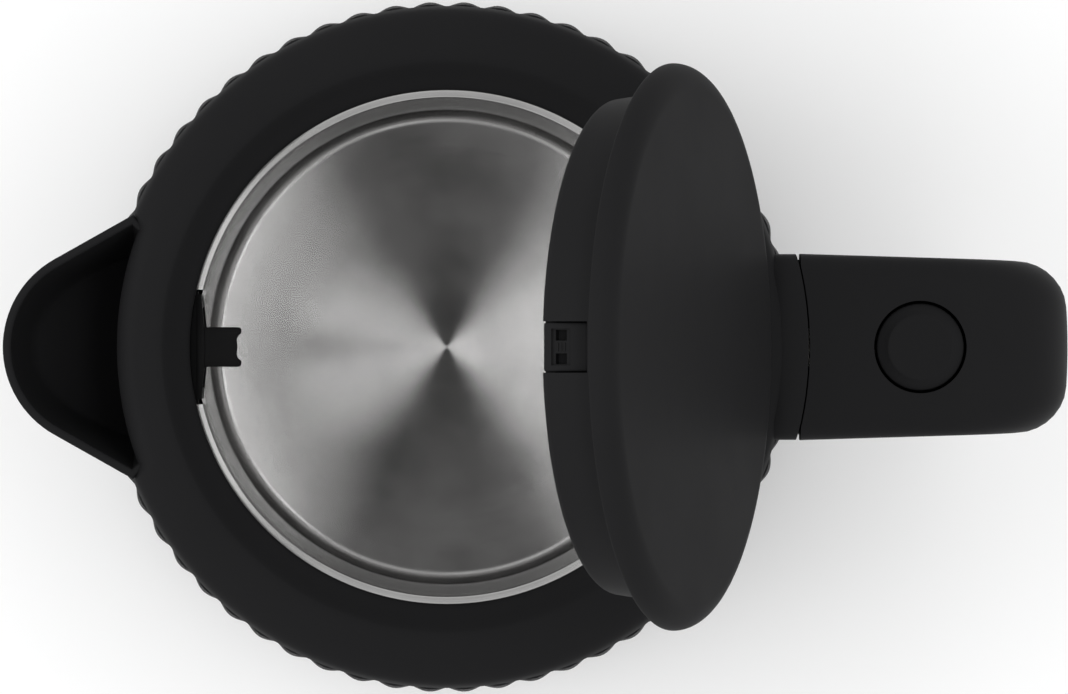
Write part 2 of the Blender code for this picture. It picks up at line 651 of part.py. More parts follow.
def release_parts():
    """Crank under the button, and the slider that holds the lid's keeper."""
    x, z = CRANK_X, CRANK_Z
    lug_top = 8.8
    hub = arc((x, z), 2.7, 160, 300, 8)
    crank = hub + [(x + CRANK_ARM + 1, z - 0.9), (x + CRANK_ARM + 1.2, z + 0.9), (x + 9.2, z + 1.1),
                   (x + 3.2, z + 1.8), (x + 1.2, z + 4), (x + 1.2, z + 7.4), (x + 0.6, z + lug_top),
                   (x - 0.6, z + lug_top), (x - 1.2, z + 7.4), (x - 1.2, z + 4)]
    lever = add("release_lever", side_prism(crank, (-2.6, 2.6)), "inner_plastic", (x, 0, z))
    cut(lever, rod(1.3, (x, -5, z), (x, 5, z), 12))
    add("release_lever_pin", rod(1.0, (x, -6.6, z), (x, 6.6, z), 12), "spring_steel")
    (start, end), (low, high) = SLIDER_X, SLIDER_Z
    body = [(start, low), (end, low), (end, high), (start, high)]
    slider = add("latch_slider", side_prism(body, (-4.2, 4.2)), "inner_plastic")
    join(slider, side_prism(keeper_nose(), (-1.8, 1.8)))
    cut(slider, box((x - 1.9, x + 1.9), (-3.0, 3.0), (low - 1, high + 1)))
    spring_at = (end + 0.4, 0, (low + high) / 2)
    spring = coil(spring_at, (1, 0, 0), 1.1, 0.5, 3.6, 4, 8)
    add("latch_spring", spring, "spring_steel", spring_at)


def around_hinge(radius, degrees):
    """A point about the hinge axis, in the lid's closed position."""
    a = radians(degrees)
    return (HINGE_X + radius * cos(a), HINGE_Z + radius * sin(a))


def keeper_nose():
    """The slider's nose, which ends just clear of the path of the keeper's tail."""
    low, high = NOSE_DEG
    root_x = SLIDER_X[0] + 1.0
    return [around_hinge(NOSE_R, low), (root_x, SLIDER_Z[0]), (root_x, SLIDER_Z[1] - 0.4),
            around_hinge(NOSE_R, high)]


# --- lid, modelled closed and then turned open about the hinge -----------------------------

def lid(axis):
    """Cover, liner with two hinge knuckles, front insert and keeper."""
    n = RIM_Z
    place = tuple(axis["place"])

    def lid_piece(name, mesh, finish):
        return add(name, mesh, finish, place, axis)

    edge = [(LID_R - 5.8 + 5.8 * cos(t), n + 0.4 + 5.0 * sin(t)) for t in
            (radians(90 - 22.5 * k) for k in range(5))]
    cover = [(0, n + 6.0), (32, n + 5.85)] + edge + [
        (LID_R - 0.3, n), (LID_R - 1.9, n), (LID_R - 2.3, n + 1.2), (55.6, n + 3.2), (0, n + 3.4)]
    lid_piece("lid_cover", turned(cover, 48), "black_lid")
    bottom = n - LID_SKIRT_H
    liner_profile = [(0, bottom), (52.9, bottom), (54.1, bottom + 0.5), (LID_SKIRT_R, bottom + 1.6),
                     (LID_SKIRT_R, n), (58.2, n), (58.2, n + 1.5), (52.7, n + 1.5),
                     (52.7, bottom + 2), (0, bottom + 2)]
    liner = closed_piece(turned(liner_profile, 44))
    knuckle = arc((HINGE_X, HINGE_Z), KNUCKLE_R, -100, 115, 15)
    arm = [(53.6, n - 0.5), (53.6, n - 6.4), (60.5, n - 6.8)] + knuckle + [(61.8, n - 0.5)]
    for low, high in ((-9.8, -6.2), (2.3, 9.8)):
        join(liner, side_prism(arm, (low, high)))
    cut(liner, rod(BORE_R, (HINGE_X, -12, HINGE_Z), (HINGE_X, 12, HINGE_Z), 16))
    cut(liner, box((-58, -50.6), (-5.5, 5.5), (bottom - 2, n - 2.2)))
    cut(liner, box((53.0, 58), (-2.2, 2.2), (bottom - 2, n - 0.6)))
    move_to_axis(liner, "lid_liner", "black_lid", axis)
    block = closed_piece(box((-53.4, -51.0), (-5.15, 5.15), (bottom + 0.5, n - 2.6)))
    for y in (-2.5, 2.5):
        cut(block, box((-55, -52.0), (y - 1.2, y + 1.2), (bottom + 3.2, bottom + 5.6)))
    move_to_axis(block, "lid_front_insert", "black_lid", axis)
    tail = [around_hinge(KEEPER_R, KEEPER_DEG - TAIL_HALF_DEG),
            around_hinge(KEEPER_R, KEEPER_DEG + TAIL_HALF_DEG), around_hinge(3.0, 0),
            around_hinge(3.2, 50), around_hinge(3.2, 90), around_hinge(3.4, 150),
            (53.4, n - 2.4), (53.4, n - 5.6),
            around_hinge(3.6, 200), around_hinge(3.3, 240), around_hinge(3.3, 290)]
    keeper = closed_piece(side_prism(tail, (-1.7, 1.7)))
    cut(keeper, rod(BORE_R, (HINGE_X, -4, HINGE_Z), (HINGE_X, 4, HINGE_Z), 16))
    move_to_axis(keeper, "lid_keeper", "spring_steel", axis)


def closed_piece(mesh):
    """A piece still in the lid's closed position."""
    return add("unplaced", mesh, None)


def move_to_axis(piece, name, finish, axis):
    """Name a piece modelled in the closed position and hang it on the hinge's empty."""
    place = Vector(axis["place"]) * MM
    piece.data.transform(Matrix.Translation(-place))
    piece.name = name
    piece.data.name = name
    piece.parent = axis
    piece.data.materials.clear()
    piece.data.materials.append(material(name, *FINISHES[finish]))


def hinge_parts():
    """Hinge pin, its spring, and the empty on the hinge axis that carries the lid."""
    axis = bpy.data.objects.new("lid_axis", None)
    bpy.context.collection.objects.link(axis)
    axis.location = (HINGE_X * MM, 0, HINGE_Z * MM)
    axis["place"] = (HINGE_X, 0.0, HINGE_Z)
    axis.rotation_euler.y = radians(LID_OPEN_DEG)
    bpy.context.view_layer.update()
    add("lid_hinge_pin", rod(PIN_R, (HINGE_X, -12.6, HINGE_Z), (HINGE_X, 12.6, HINGE_Z), 16),
        "spring_steel", (HINGE_X, 0, HINGE_Z))
    add("lid_spring", coil((HINGE_X, -5.4, HINGE_Z), (0, 1, 0), 2.2, 0.7, 2.8, 3, 12),
        "spring_steel", (HINGE_X, 0, HINGE_Z))
    return axis


# --- switch and filter --------------------------------------------------------------------

def power_switch():
    """Rocking lever with a paddle below the handle, on a cross pin."""
    x, z = SWITCH_X, SWITCH_Z
    arm = [(x - 29, z - 1.2), (x, z - 2.8), (x + 25, z - 1.4), (x + 47, z + 0.6),
           (x + 50, z + 2.2), (x + 49, z + 4.2), (x + 25, z + 1.6), (x, z + 2.8), (x - 29, z + 1.2)]
    lever = add("switch_lever", side_prism(arm, (-5.5, 5.5)), "black_handle", (x, 0, z))
    paddle = [(x + 27, z - 1.0), (x + 47, z + 0.8), (x + 50.4, z + 2.4), (x + 49.4, z + 4.8),
              (x + 46, z + 4.4), (x + 27, z + 2.6)]
    join(lever, side_prism(paddle, (-9, 9)))
    cut(lever, rod(1.8, (x, -8, z), (x, 8, z), 14))
    add("switch_pivot", rod(1.4, (x, -9, z), (x, 9, z), 14), "spring_steel", (x, 0, z))


def pouring_filter():
    """Framed gauze in the pot's window, with a tab to lift it by."""
    low, high = FILTER_Z
    front = [(-53.5, 0), (-53.7, 4.3), (-54.4, 11.6)]
    plan = [(x, -y) for x, y in reversed(front)] + front[1:] + [(-55.3, 11.6), (-55.3, -11.6)]
    frame = add("filter_frame", loft([[(x, y, z) for x, y in plan] for z in (low, high)]),
                "black_body")
    cut(frame, box((-60, -50), (-9, 9), (low + 3, high - 4)))
    tab = [(-54.6, -4.4), (-45.9, -4.4), (-45.5, -3.2), (-46.4, -2.0), (-46.2, 0), (-46.4, 2.0),
           (-45.5, 3.2), (-45.9, 4.4), (-54.6, 4.4)]
    join(frame, loft([[(x, y, z) for x, y in tab] for z in (high - 2.0, high - 0.2)]))
    add("filter_mesh", box((-54.9, -54.4), (-8.65, 8.65), (low + 3.35, high - 4.35)), "mesh")


power_base()
outer_shell()
collar()
spout()
inner_pot()
bottom_parts()
steam_tube()
handle()
lid_button()
release_parts()
lid(hinge_parts())
power_switch()
pouring_filter()
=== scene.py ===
"""Looks of the cordless electric kettle: finished shells, lid, handle, steel pot and base.

Every piece is built in millimetres and stored in metres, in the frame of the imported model.
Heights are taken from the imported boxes; the lid is built closed and turned open about its hinge.
"""
import json
from math import atan2, cos, degrees, hypot, pi, radians, sin, sqrt

import bmesh
import bpy
from mathutils import Matrix, Vector


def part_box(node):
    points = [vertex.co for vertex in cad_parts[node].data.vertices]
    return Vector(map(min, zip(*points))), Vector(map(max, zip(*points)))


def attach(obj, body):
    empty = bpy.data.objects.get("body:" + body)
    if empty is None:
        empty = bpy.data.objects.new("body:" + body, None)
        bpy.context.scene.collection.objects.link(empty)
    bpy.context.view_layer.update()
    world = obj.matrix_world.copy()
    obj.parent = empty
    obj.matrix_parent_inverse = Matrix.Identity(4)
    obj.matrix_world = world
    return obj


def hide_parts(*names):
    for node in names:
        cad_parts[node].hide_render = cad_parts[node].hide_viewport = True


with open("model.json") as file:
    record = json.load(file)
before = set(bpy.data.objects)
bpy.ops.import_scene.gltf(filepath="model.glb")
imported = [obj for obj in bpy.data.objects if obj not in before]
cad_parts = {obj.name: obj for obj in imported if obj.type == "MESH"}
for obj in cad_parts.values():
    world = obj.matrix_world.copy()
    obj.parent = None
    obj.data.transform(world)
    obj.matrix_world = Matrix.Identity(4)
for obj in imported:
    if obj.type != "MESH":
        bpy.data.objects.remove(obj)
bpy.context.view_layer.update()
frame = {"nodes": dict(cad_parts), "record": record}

MM = 0.001
JOINTS = {joint["name"]: joint for joint in frame["record"]["behaviour"]["joints"]}


def top_of(node):
    """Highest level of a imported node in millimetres."""
    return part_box(node)[1][2] / MM


def bottom_of(node):
    """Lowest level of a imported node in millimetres."""
    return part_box(node)[0][2] / MM


# Heights and places from the frame, in millimetres and degrees
CREST_Z = top_of("collar")
SHELL_TOP_Z = top_of("outer_shell")
SHELL_BOTTOM_Z = bottom_of("outer_shell")
POT_TOP_Z = top_of("inner_pot")
BASE_TOP_Z = top_of("power_base_top")
HINGE_X, _, HINGE_Z = (value / MM for value in JOINTS["lid_hinge"]["pos_m"])
LID_OPEN_DEG = -JOINTS["lid_hinge"]["range_deg"][0]
BUTTON_X = (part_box("lid_button")[0][0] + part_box("lid_button")[1][0]) / 2 / MM
RIM_Z = CREST_Z - 1.0                    # lower edge of the closed lid's cover

# Shell and collar, in millimetres; a drop is measured down from the collar's crest
FLUTES, FLUTE_STEPS, FLUTE_DEPTH, FLUTE_POWER = 60, 10, 1.05, 1.25
SHELL_R_TOP, SHELL_R_BULGE, SHELL_R_BOTTOM, SHELL_R_IN = 75.7, 77.2, 78.0, 72.8
SHELL_BULGE_DROP = 50                    # widest level of the upper body, below the shell's top
FOOT_ROUND_H, FOOT_ROUND_W = 4, 1.7      # rounding at the shell's bottom edge
OPENING_R, COLLAR_R, COLLAR_DROP = 56.7, 75.2, 9.7
COLLAR_BEND_R = 68.5                     # the collar's profile is squeezed outside this radius
BRIDGE_R, BRIDGE_HALF_DEG, BRIDGE_DROP = 72.8, 22.1, 9.9
HINGE_BORE_R = 1.5

# Spout, with levels from the crest
SPOUT_TOP, SPOUT_LOW = -4.5, -66.0
SPOUT_TIP_X, SPOUT_ROOT_X, SPOUT_ROOT_W = -98.0, -69.3, 29.2
SPOUT_TIP_BACK, SPOUT_NARROWING = 27.5, 11   # what the tip and half width lose by the heel
SPOUT_BACK_X = -66.0
SPOUT_FLANK = radians(29.4)
SPOUT_WALL, SPOUT_RIM_H = 1.9, 0.7
SPOUT_CLOSED_BELOW = -47.0               # top of the solid heel
SPOUT_FLOOR, SPOUT_FLOOR_RISE = -44.0, 0.95

# Pot and filter
POT_R, POT_WALL, POT_FLOOR_Z, POT_FILLET_R = 57.0, 0.8, 71.0, 3.2
POT_LEDGE_DROP, POT_LEDGE_W, POT_TAPER = 9.5, 1.7, 2.0
POT_FLANGE_R = 61.3
POT_WINDOW_HALF_W, POT_WINDOW_Z = 12.7, (185.5, 221.5)
FILTER_LOW_DROP, FILTER_HIGH_DROP = 50.0, 15.6
WIRE_R, WIRE_PITCH = 0.13, 0.75

# Handle and button
HANDLE_T, HANDLE_WALL, HANDLE_SEAM_R = 22.0, 2.3, 80.0
HANDLE_MID_Z = CREST_Z - 3 - HANDLE_T / 2
HANDLE_SPLIT = -4.0                      # parting line of the two handle pieces
HANDLE_CORNER = 5.0                      # edge radius of the level part
HANDLE_ROOT_X, HANDLE_HALF_W, HANDLE_NARROWING = 80, 20.5, 0.03
CORNER_X, CORNER_R = 110.6, 15.6
GRIP_X, GRIP_LEAN = CORNER_X + CORNER_R, 3.0
FOOT_BEND_R, FOOT_Z = 20.0, 66.0
DISH_R, DISH_DEPTH = 17, 0.55
BUTTON_R, BUTTON_HOLE_R = 9.6, 10.2
STEM_X, STEM_LIFT = 98.0, 1.7            # stem under the button, above the lever's axis

# Lid, built closed
LID_R, LID_SKIRT_R, LID_SKIRT_H = 61.2, 54.5, 12.9
LID_EDGE_R, LID_EDGE_H = 5.8, 4.9
KNUCKLE_R = 3.9

# Power base and underside
BASE_R, CONNECTOR_R = 79.0, 14.5
SCREW_HEAD_R, SCREW_SHANK_R = 3.6, 1.85

# Mesh
FINE, MEDIUM = 180, 120                  # steps round large and medium turned pieces
MERGE_M = 3e-6                           # vertices closer than this are one
ON_AXIS = 1e-6                           # radii below this are on the axis
PIECE_SHARP_DEG, CAD_SHARP_DEG = 38, 35

# Camera, light and floor, in metres and watts
CAMERA_ABOVE, CAMERA_LENS, CAMERA_SHIFT = 3.0, 459.6, 0.0815
HIGH_PANEL_X, HIGH_PANEL_Z, HIGH_PANEL_W = 0.62, 2.6, 10.5
LEFT_PANEL_PLACE, LEFT_PANEL_W = (-1.9, 0, 1.35), 9
FLOOR_Z, FLOOR_HALF, FLOOR_ALBEDO = -0.0005, 4, 0.93
WALLS, CEILING = 1.12, 0.035             # brightness of the surroundings
CEILING_FROM, CEILING_TO = 0.90, 0.965   # upward share of the direction where it darkens


# --- materials ----------------------------------------------------------------------------

def node(tree, kind, **settings):
    """A new shader node, with its inputs or properties set by name."""
    made = tree.nodes.new(kind)
    for key, value in settings.items():
        if key in made.inputs:
            made.inputs[key].default_value = value
        else:
            setattr(made, key, value)
    return made


def ramp(tree, source, low, high, start=0.0, end=1.0):
    """Map a value between start and end to one between low and high."""
    made = tree.nodes.new("ShaderNodeMapRange")
    made.inputs["From Min"].default_value = start
    made.inputs["From Max"].default_value = end
    made.inputs["To Min"].default_value = low
    made.inputs["To Max"].default_value = high
    tree.links.new(source, made.inputs["Value"])
    return made.outputs["Result"]


def colour_between(tree, factor, dark, light):
    """Mix two colours by a 0..1 value."""
    made = tree.nodes.new("ShaderNodeMix")
    made.data_type = "RGBA"
    made.inputs[6].default_value = (*dark, 1)
    made.inputs[7].default_value = (*light, 1)
    tree.links.new(factor, made.inputs["Factor"])
    return made.outputs[2]


def new_material(name):
    """A material with its node tree and its shader."""
    made = bpy.data.materials.new(name)
    made.use_nodes = True
    return made, made.node_tree, made.node_tree.nodes["Principled BSDF"]


def add_bump(tree, shader, height, strength, distance):
    """Raise the surface by a height pattern; the distance is in metres."""
    bump = node(tree, "ShaderNodeBump", Strength=strength, Distance=distance)
    tree.links.new(height, bump.inputs["Height"])
    tree.links.new(bump.outputs["Normal"], shader.inputs["Normal"])


def moulded(name, colour, roughness, grain=0.35, relief=0.06, specular=0.5):
    """Moulded plastic: a fine spark-eroded grain (in mm), flow marks and handling sheen."""
    made, tree, shader = new_material(name)
    place = node(tree, "ShaderNodeTexCoord").outputs["Object"]
    fine = node(tree, "ShaderNodeTexNoise", Scale=1000 / grain, Detail=3.0, Roughness=0.6)
    broad = node(tree, "ShaderNodeTexNoise", Scale=28.0, Detail=4.0, Roughness=0.55)
    for texture in (fine, broad):
        tree.links.new(place, texture.inputs["Vector"])
    light = tuple(min(1, c * 1.15 + 0.0004) for c in colour)
    tree.links.new(colour_between(tree, broad.outputs[0], colour, light),
                   shader.inputs["Base Color"])
    tree.links.new(ramp(tree, broad.outputs[0], roughness - 0.04, roughness + 0.05, 0.3, 0.7),
                   shader.inputs["Roughness"])
    add_bump(tree, shader, fine.outputs[0], relief * 4, 0.00004)
    shader.inputs["Specular IOR Level"].default_value = specular
    return made


def turned_steel(name, colour, roughness, anisotropy):
    """Steel brushed in circles about the upright axis, darker on the wall and rim by painted
    shade.
    """
    # painted shade: the base colour darkens from 54.0 to 55.1 mm out, where the wall and rim catch
    # less light
    painted_rim_shade, painted_shade_from_r, painted_shade_to_r = 0.74, 0.0540, 0.0551
    turn_share = 0.0006          # how slowly the brush lines change round the circle
    made, tree, shader = new_material(name)
    place = node(tree, "ShaderNodeTexCoord").outputs["Object"]
    split = node(tree, "ShaderNodeSeparateXYZ")
    tree.links.new(place, split.inputs[0])
    flat = node(tree, "ShaderNodeCombineXYZ")
    tree.links.new(split.outputs["X"], flat.inputs["X"])
    tree.links.new(split.outputs["Y"], flat.inputs["Y"])
    radius = node(tree, "ShaderNodeVectorMath", operation="LENGTH")
    tree.links.new(flat.outputs[0], radius.inputs[0])
    angle = node(tree, "ShaderNodeMath", operation="ARCTAN2")
    tree.links.new(split.outputs["Y"], angle.inputs[0])
    tree.links.new(split.outputs["X"], angle.inputs[1])
    rings = node(tree, "ShaderNodeCombineXYZ")
    tree.links.new(radius.outputs["Value"], rings.inputs["X"])
    tree.links.new(split.outputs["Z"], rings.inputs["Y"])
    slow = node(tree, "ShaderNodeMath", operation="MULTIPLY")
    slow.inputs[1].default_value = turn_share
    tree.links.new(angle.outputs[0], slow.inputs[0])
    tree.links.new(slow.outputs[0], rings.inputs["Z"])
    lines = node(tree, "ShaderNodeTexNoise", Scale=2600.0, Detail=3.0, Roughness=0.7)
    tree.links.new(rings.outputs[0], lines.inputs["Vector"])
    clouds = node(tree, "ShaderNodeTexNoise", Scale=60.0, Detail=3.0)
    tree.links.new(place, clouds.inputs["Vector"])
    dark = tuple(c * 0.76 for c in colour)
    # painted shade: this node scales the brushed colour down towards the wall and rim
    painted_shade_node = node(tree, "ShaderNodeHueSaturation")
    tree.links.new(colour_between(tree, lines.outputs[0], dark, colour),
                   painted_shade_node.inputs["Color"])
    tree.links.new(ramp(tree, radius.outputs["Value"], 1.0, painted_rim_shade,
                        painted_shade_from_r, painted_shade_to_r), painted_shade_node.inputs["Value"])
    tree.links.new(painted_shade_node.outputs[0], shader.inputs["Base Color"])
    tree.links.new(ramp(tree, clouds.outputs[0], roughness - 0.03, roughness + 0.04, 0.3, 0.7),
                   shader.inputs["Roughness"])
    add_bump(tree, shader, lines.outputs[0], 0.16, 0.00003)
    shader.inputs["Metallic"].default_value = 1.0
    shader.inputs["Anisotropic"].default_value = anisotropy
    shader.inputs["Anisotropic Rotation"].default_value = 0.25
    tangent = node(tree, "ShaderNodeTangent", direction_type="RADIAL", axis="Z")
    tree.links.new(tangent.outputs[0], shader.inputs["Tangent"])
    return made


def metal(name, colour, roughness, grain=0.25):
    """Plain metal with fine drawing marks and slight tarnish."""
    made, tree, shader = new_material(name)
    place = node(tree, "ShaderNodeTexCoord").outputs["Object"]
    marks = node(tree, "ShaderNodeTexNoise", Scale=1000 / grain, Detail=2.0)
    tarnish = node(tree, "ShaderNodeTexNoise", Scale=140.0, Detail=4.0)
    for texture in (marks, tarnish):
        tree.links.new(place, texture.inputs["Vector"])
    dull = tuple(c * 0.72 for c in colour)
    tree.links.new(colour_between(tree, tarnish.outputs[0], dull, colour),
                   shader.inputs["Base Color"])
    tree.links.new(ramp(tree, marks.outputs[0], roughness - 0.06, roughness + 0.1),
                   shader.inputs["Roughness"])
    add_bump(tree, shader, marks.outputs[0], 0.15, 0.00003)
    shader.inputs["Metallic"].default_value = 1.0
    return made


SHELL = moulded("shell_plastic", (0.0108, 0.0108, 0.0113), 0.5,
                grain=0.3, relief=0.05, specular=0.014)
LID = moulded("lid_plastic", (0.0125, 0.0125, 0.013), 0.5,
              grain=0.3, relief=0.05, specular=0.009)
HANDLE = moulded("handle_plastic", (0.0108, 0.0108, 0.0113), 0.5,
                 grain=0.3, relief=0.05, specular=0.016)
BASE = moulded("base_plastic", (0.0095, 0.0095, 0.01), 0.5,
               grain=0.3, relief=0.06, specular=0.04)
FILTER = moulded("filter_plastic", (0.0055, 0.0055, 0.0057), 0.42,
                 grain=0.3, relief=0.03, specular=0.03)
PALE = moulded("pale_plastic", (0.62, 0.6, 0.54), 0.48, grain=0.4, relief=0.03)
RUBBER = moulded("foot_rubber", (0.012, 0.012, 0.012), 0.8,
                 grain=0.5, relief=0.12, specular=0.3)
SILICONE = moulded("silicone", (0.5, 0.5, 0.47), 0.55, grain=0.6, relief=0.05)
POT_STEEL = turned_steel("pot_steel", (0.56, 0.555, 0.55), 0.21, anisotropy=0.97)
WIRE_STEEL = metal("wire_steel", (0.34, 0.34, 0.34), 0.35)
BRIGHT_STEEL = metal("bright_steel", (0.5, 0.5, 0.5), 0.3)
ELEMENT_STEEL = metal("element_steel", (0.42, 0.39, 0.36), 0.42)
ALUMINIUM = metal("plate_aluminium", (0.66, 0.66, 0.67), 0.42, grain=0.4)
BRASS = metal("contact_brass", (0.72, 0.53, 0.26), 0.3)


# --- mesh tools ---------------------------------------------------------------------------

def linked(name, data):
    """A new object in the scene."""
    made = bpy.data.objects.new(name, data)
    bpy.context.collection.objects.link(made)
    return made


def raw(name, mesh):
    """A linked object from a bmesh in millimetres, faces turned out."""
    bmesh.ops.recalc_face_normals(mesh, faces=mesh.faces)
    bmesh.ops.scale(mesh, vec=(MM, MM, MM), verts=mesh.verts)
    data = bpy.data.meshes.new(name)
    mesh.to_mesh(data)
    mesh.free()
    made = linked(name, data)
    bpy.context.view_layer.update()
    return made


def weld(piece):
    """Merge points that meet, drop flat slivers and turn the faces out."""
    mesh = bmesh.new()
    mesh.from_mesh(piece.data)
    bmesh.ops.remove_doubles(mesh, verts=mesh.verts, dist=MERGE_M)
    bmesh.ops.dissolve_degenerate(mesh, dist=MERGE_M, edges=mesh.edges)
    bmesh.ops.recalc_face_normals(mesh, faces=mesh.faces)
    mesh.to_mesh(piece.data)
    mesh.free()


def apply_modifiers(piece):
    """Keep the result of the piece's modifiers as its mesh."""
    bpy.context.view_layer.update()
    graph = bpy.context.evaluated_depsgraph_get()
    result = bpy.data.meshes.new_from_object(piece.evaluated_get(graph))
    piece.modifiers.clear()
    piece.data = result


def combine(piece, mesh, operation):
    """Cut a second mesh from the piece, or join it on."""
    other = raw("cutter", mesh)
    change = piece.modifiers.new("change", "BOOLEAN")
    change.operation = operation
    change.solver = "EXACT"
    change.object = other
    apply_modifiers(piece)
    bpy.data.objects.remove(other)
    weld(piece)
    if not piece.data.polygons:
        raise RuntimeError(f"{piece.name} vanished in a Boolean")


def cut(piece, mesh):
    """Take a mesh away from the piece."""
    combine(piece, mesh, "DIFFERENCE")


def join(piece, mesh):
    """Add a mesh to the piece."""
    combine(piece, mesh, "UNION")


def bevel(piece, width, steps=2, angle=35):
    """Round the sharp edges by a width in millimetres."""
    change = piece.modifiers.new("round", "BEVEL")
    change.width = width * MM
    change.segments = steps
    change.limit_method = "ANGLE"
    change.angle_limit = radians(angle)
    change.harden_normals = False
    apply_modifiers(piece)


def finish_piece(piece, material, body, slot, *nodes):
    """Shade, paint and place a finished piece, and let it stand for its CAD nodes."""
    piece.data.materials.clear()
    piece.data.materials.append(material)
    piece.data.shade_smooth()
    piece.data.set_sharp_from_angle(angle=radians(PIECE_SHARP_DEG))
    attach(piece, body)
    if nodes:
        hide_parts(*nodes)
    return piece


def full_circle(steps):
    """Evenly spaced angles once round."""
    return [2 * pi * k / steps for k in range(steps)]


def turned(profile, steps=FINE, centre=(0, 0)):
    """Spin an (r, z) outline about an upright axis; it is closed unless it ends on the axis."""
    mesh = bmesh.new()
    rows = []
    for r, z in profile:
        if r < ON_AXIS:
            rows.append([mesh.verts.new((centre[0], centre[1], z))] * steps)
        else:
            rows.append([mesh.verts.new((centre[0] + r * cos(a), centre[1] + r * sin(a), z))
                         for a in full_circle(steps)])
    pairs = list(zip(rows, rows[1:]))
    if profile[0][0] > ON_AXIS:
        pairs.append((rows[-1], rows[0]))
    for a, b in pairs:
        for i in range(steps):
            j = (i + 1) % steps
            corners = list(dict.fromkeys((a[i], a[j], b[j], b[i])))
            if len(corners) > 2:
                mesh.faces.new(corners)
    return mesh


def loft(rings, capped=True):
    """Skin rings that have the same number of points."""
    mesh = bmesh.new()
    rows = [[mesh.verts.new(p) for p in ring] for ring in rings]
    count = len(rows[0])
    for a, b in zip(rows, rows[1:]):
        for i in range(count):
            j = (i + 1) % count
            mesh.faces.new((a[i], a[j], b[j], b[i]))
    if capped:
        mesh.faces.new(rows[0][::-1])
        mesh.faces.new(rows[-1])
    return mesh


def upright_prism(outline, z):
    """A prism on an (x, y) outline between two levels."""
    return loft([[(a, b, level) for a, b in outline] for level in z])


def box(x, y, z):
    """A box from its two limits along each axis."""
    return upright_prism([(x[0], y[0]), (x[1], y[0]), (x[1], y[1]), (x[0], y[1])], z)


def side_prism(outline, y):
    """A prism on an (x, z) outline between two places across."""
    return loft([[(a, level, b) for a, b in outline] for level in y])


def column(radius, low, high, steps):
    """An upright cylinder about the kettle's axis."""
    return turned([(0, low), (radius, low), (radius, high), (0, high)], steps)


def rod(radius, start, end, steps=32):
    """A cylinder between two points."""
    start, end = Vector(start), Vector(end)
    turn = (end - start).to_track_quat("Z", "Y").to_matrix()
    ring = [Vector((radius * cos(a), radius * sin(a), 0)) for a in full_circle(steps)]
    return loft([[tuple(at + turn @ p) for p in ring] for at in (start, end)])


def arc(centre, radius, start_deg, end_deg, count):
    """Points of a circular arc, both ends included."""
    turns = [radians(start_deg + (end_deg - start_deg) * k / (count - 1)) for k in range(count)]
    return [(centre[0] + radius * cos(a), centre[1] + radius * sin(a)) for a in turns]


def smooth_curve(points, count):
    """A smooth run of points through a few (r, z) knots, count of them for each span."""
    knots = [points[0]] + list(points) + [points[-1]]
    made = []
    for k in range(1, len(knots) - 2):
        p0, p1, p2, p3 = (Vector(p) for p in knots[k - 1:k + 3])
        for step in range(count):
            t = step / count
            value = 0.5 * ((2 * p1) + (p2 - p0) * t + (2 * p0 - 5 * p1 + 4 * p2 - p3) * t * t
                           + (3 * p1 - p0 - 3 * p2 + p3) * t ** 3)
            made.append(tuple(value))
    return made + [tuple(points[-1])]


# --- body ---------------------------------------------------------------------------------

def shell_radius(z):
    """Outer radius of the shell over its flutes at a level."""
    bulge_z = SHELL_TOP_Z - SHELL_BULGE_DROP
    if z > bulge_z:
        t = (z - bulge_z) / (SHELL_TOP_Z - bulge_z)
        return SHELL_R_BULGE + (SHELL_R_TOP - SHELL_R_BULGE) * t * t
    t = (bulge_z - z) / (bulge_z - SHELL_BOTTOM_Z)
    return SHELL_R_BULGE + (SHELL_R_BOTTOM - SHELL_R_BULGE) * t


def outer_shell():
    """Body shell with rounded upright flutes that run out at the bottom edge."""
    count = FLUTES * FLUTE_STEPS

    def ring(z, radius, depth):
        points = []
        for k in range(count):
            wave = abs(sin(pi * k / FLUTE_STEPS)) ** FLUTE_POWER
            r = radius - depth * (1 - wave)
            points.append((r * cos(2 * pi * k / count), r * sin(2 * pi * k / count), z))
        return points

    rings = [ring(SHELL_TOP_Z, SHELL_R_IN, 0)]
    rings += [ring(SHELL_TOP_Z, shell_radius(SHELL_TOP_Z) - 0.5, FLUTE_DEPTH)]
    levels = [SHELL_TOP_Z - drop for drop in (0.6, 12, 25, 38, 52, 90, 130)]
    levels += [SHELL_BOTTOM_Z + 20, SHELL_BOTTOM_Z + 7]
    rings += [ring(z, shell_radius(z), FLUTE_DEPTH) for z in levels]
    for t in (0.35, 0.65, 0.85, 1.0):
        inward = FOOT_ROUND_W * (1 - sqrt(1 - t * t))
        rings.append(ring(SHELL_BOTTOM_Z + FOOT_ROUND_H * (1 - t),
                          shell_radius(SHELL_BOTTOM_Z) - inward, FLUTE_DEPTH * (1 - t)))
    rings.append(ring(SHELL_BOTTOM_Z, SHELL_R_IN, 0))
    shell = raw("body_shell", loft(rings + [rings[0]], capped=False))
    weld(shell)
    cut(shell, spout_volume(0.6, -62, 3))
    latch_slot, switch_slot = (CREST_Z - 21, CREST_Z), (40, 53)
    cut(shell, box((66, 82), (-3.2, 3.2), latch_slot))
    cut(shell, box((66, 82), (-8, 8), switch_slot))
    return finish_piece(shell, SHELL, "kettle", "shell_black", "outer_shell")


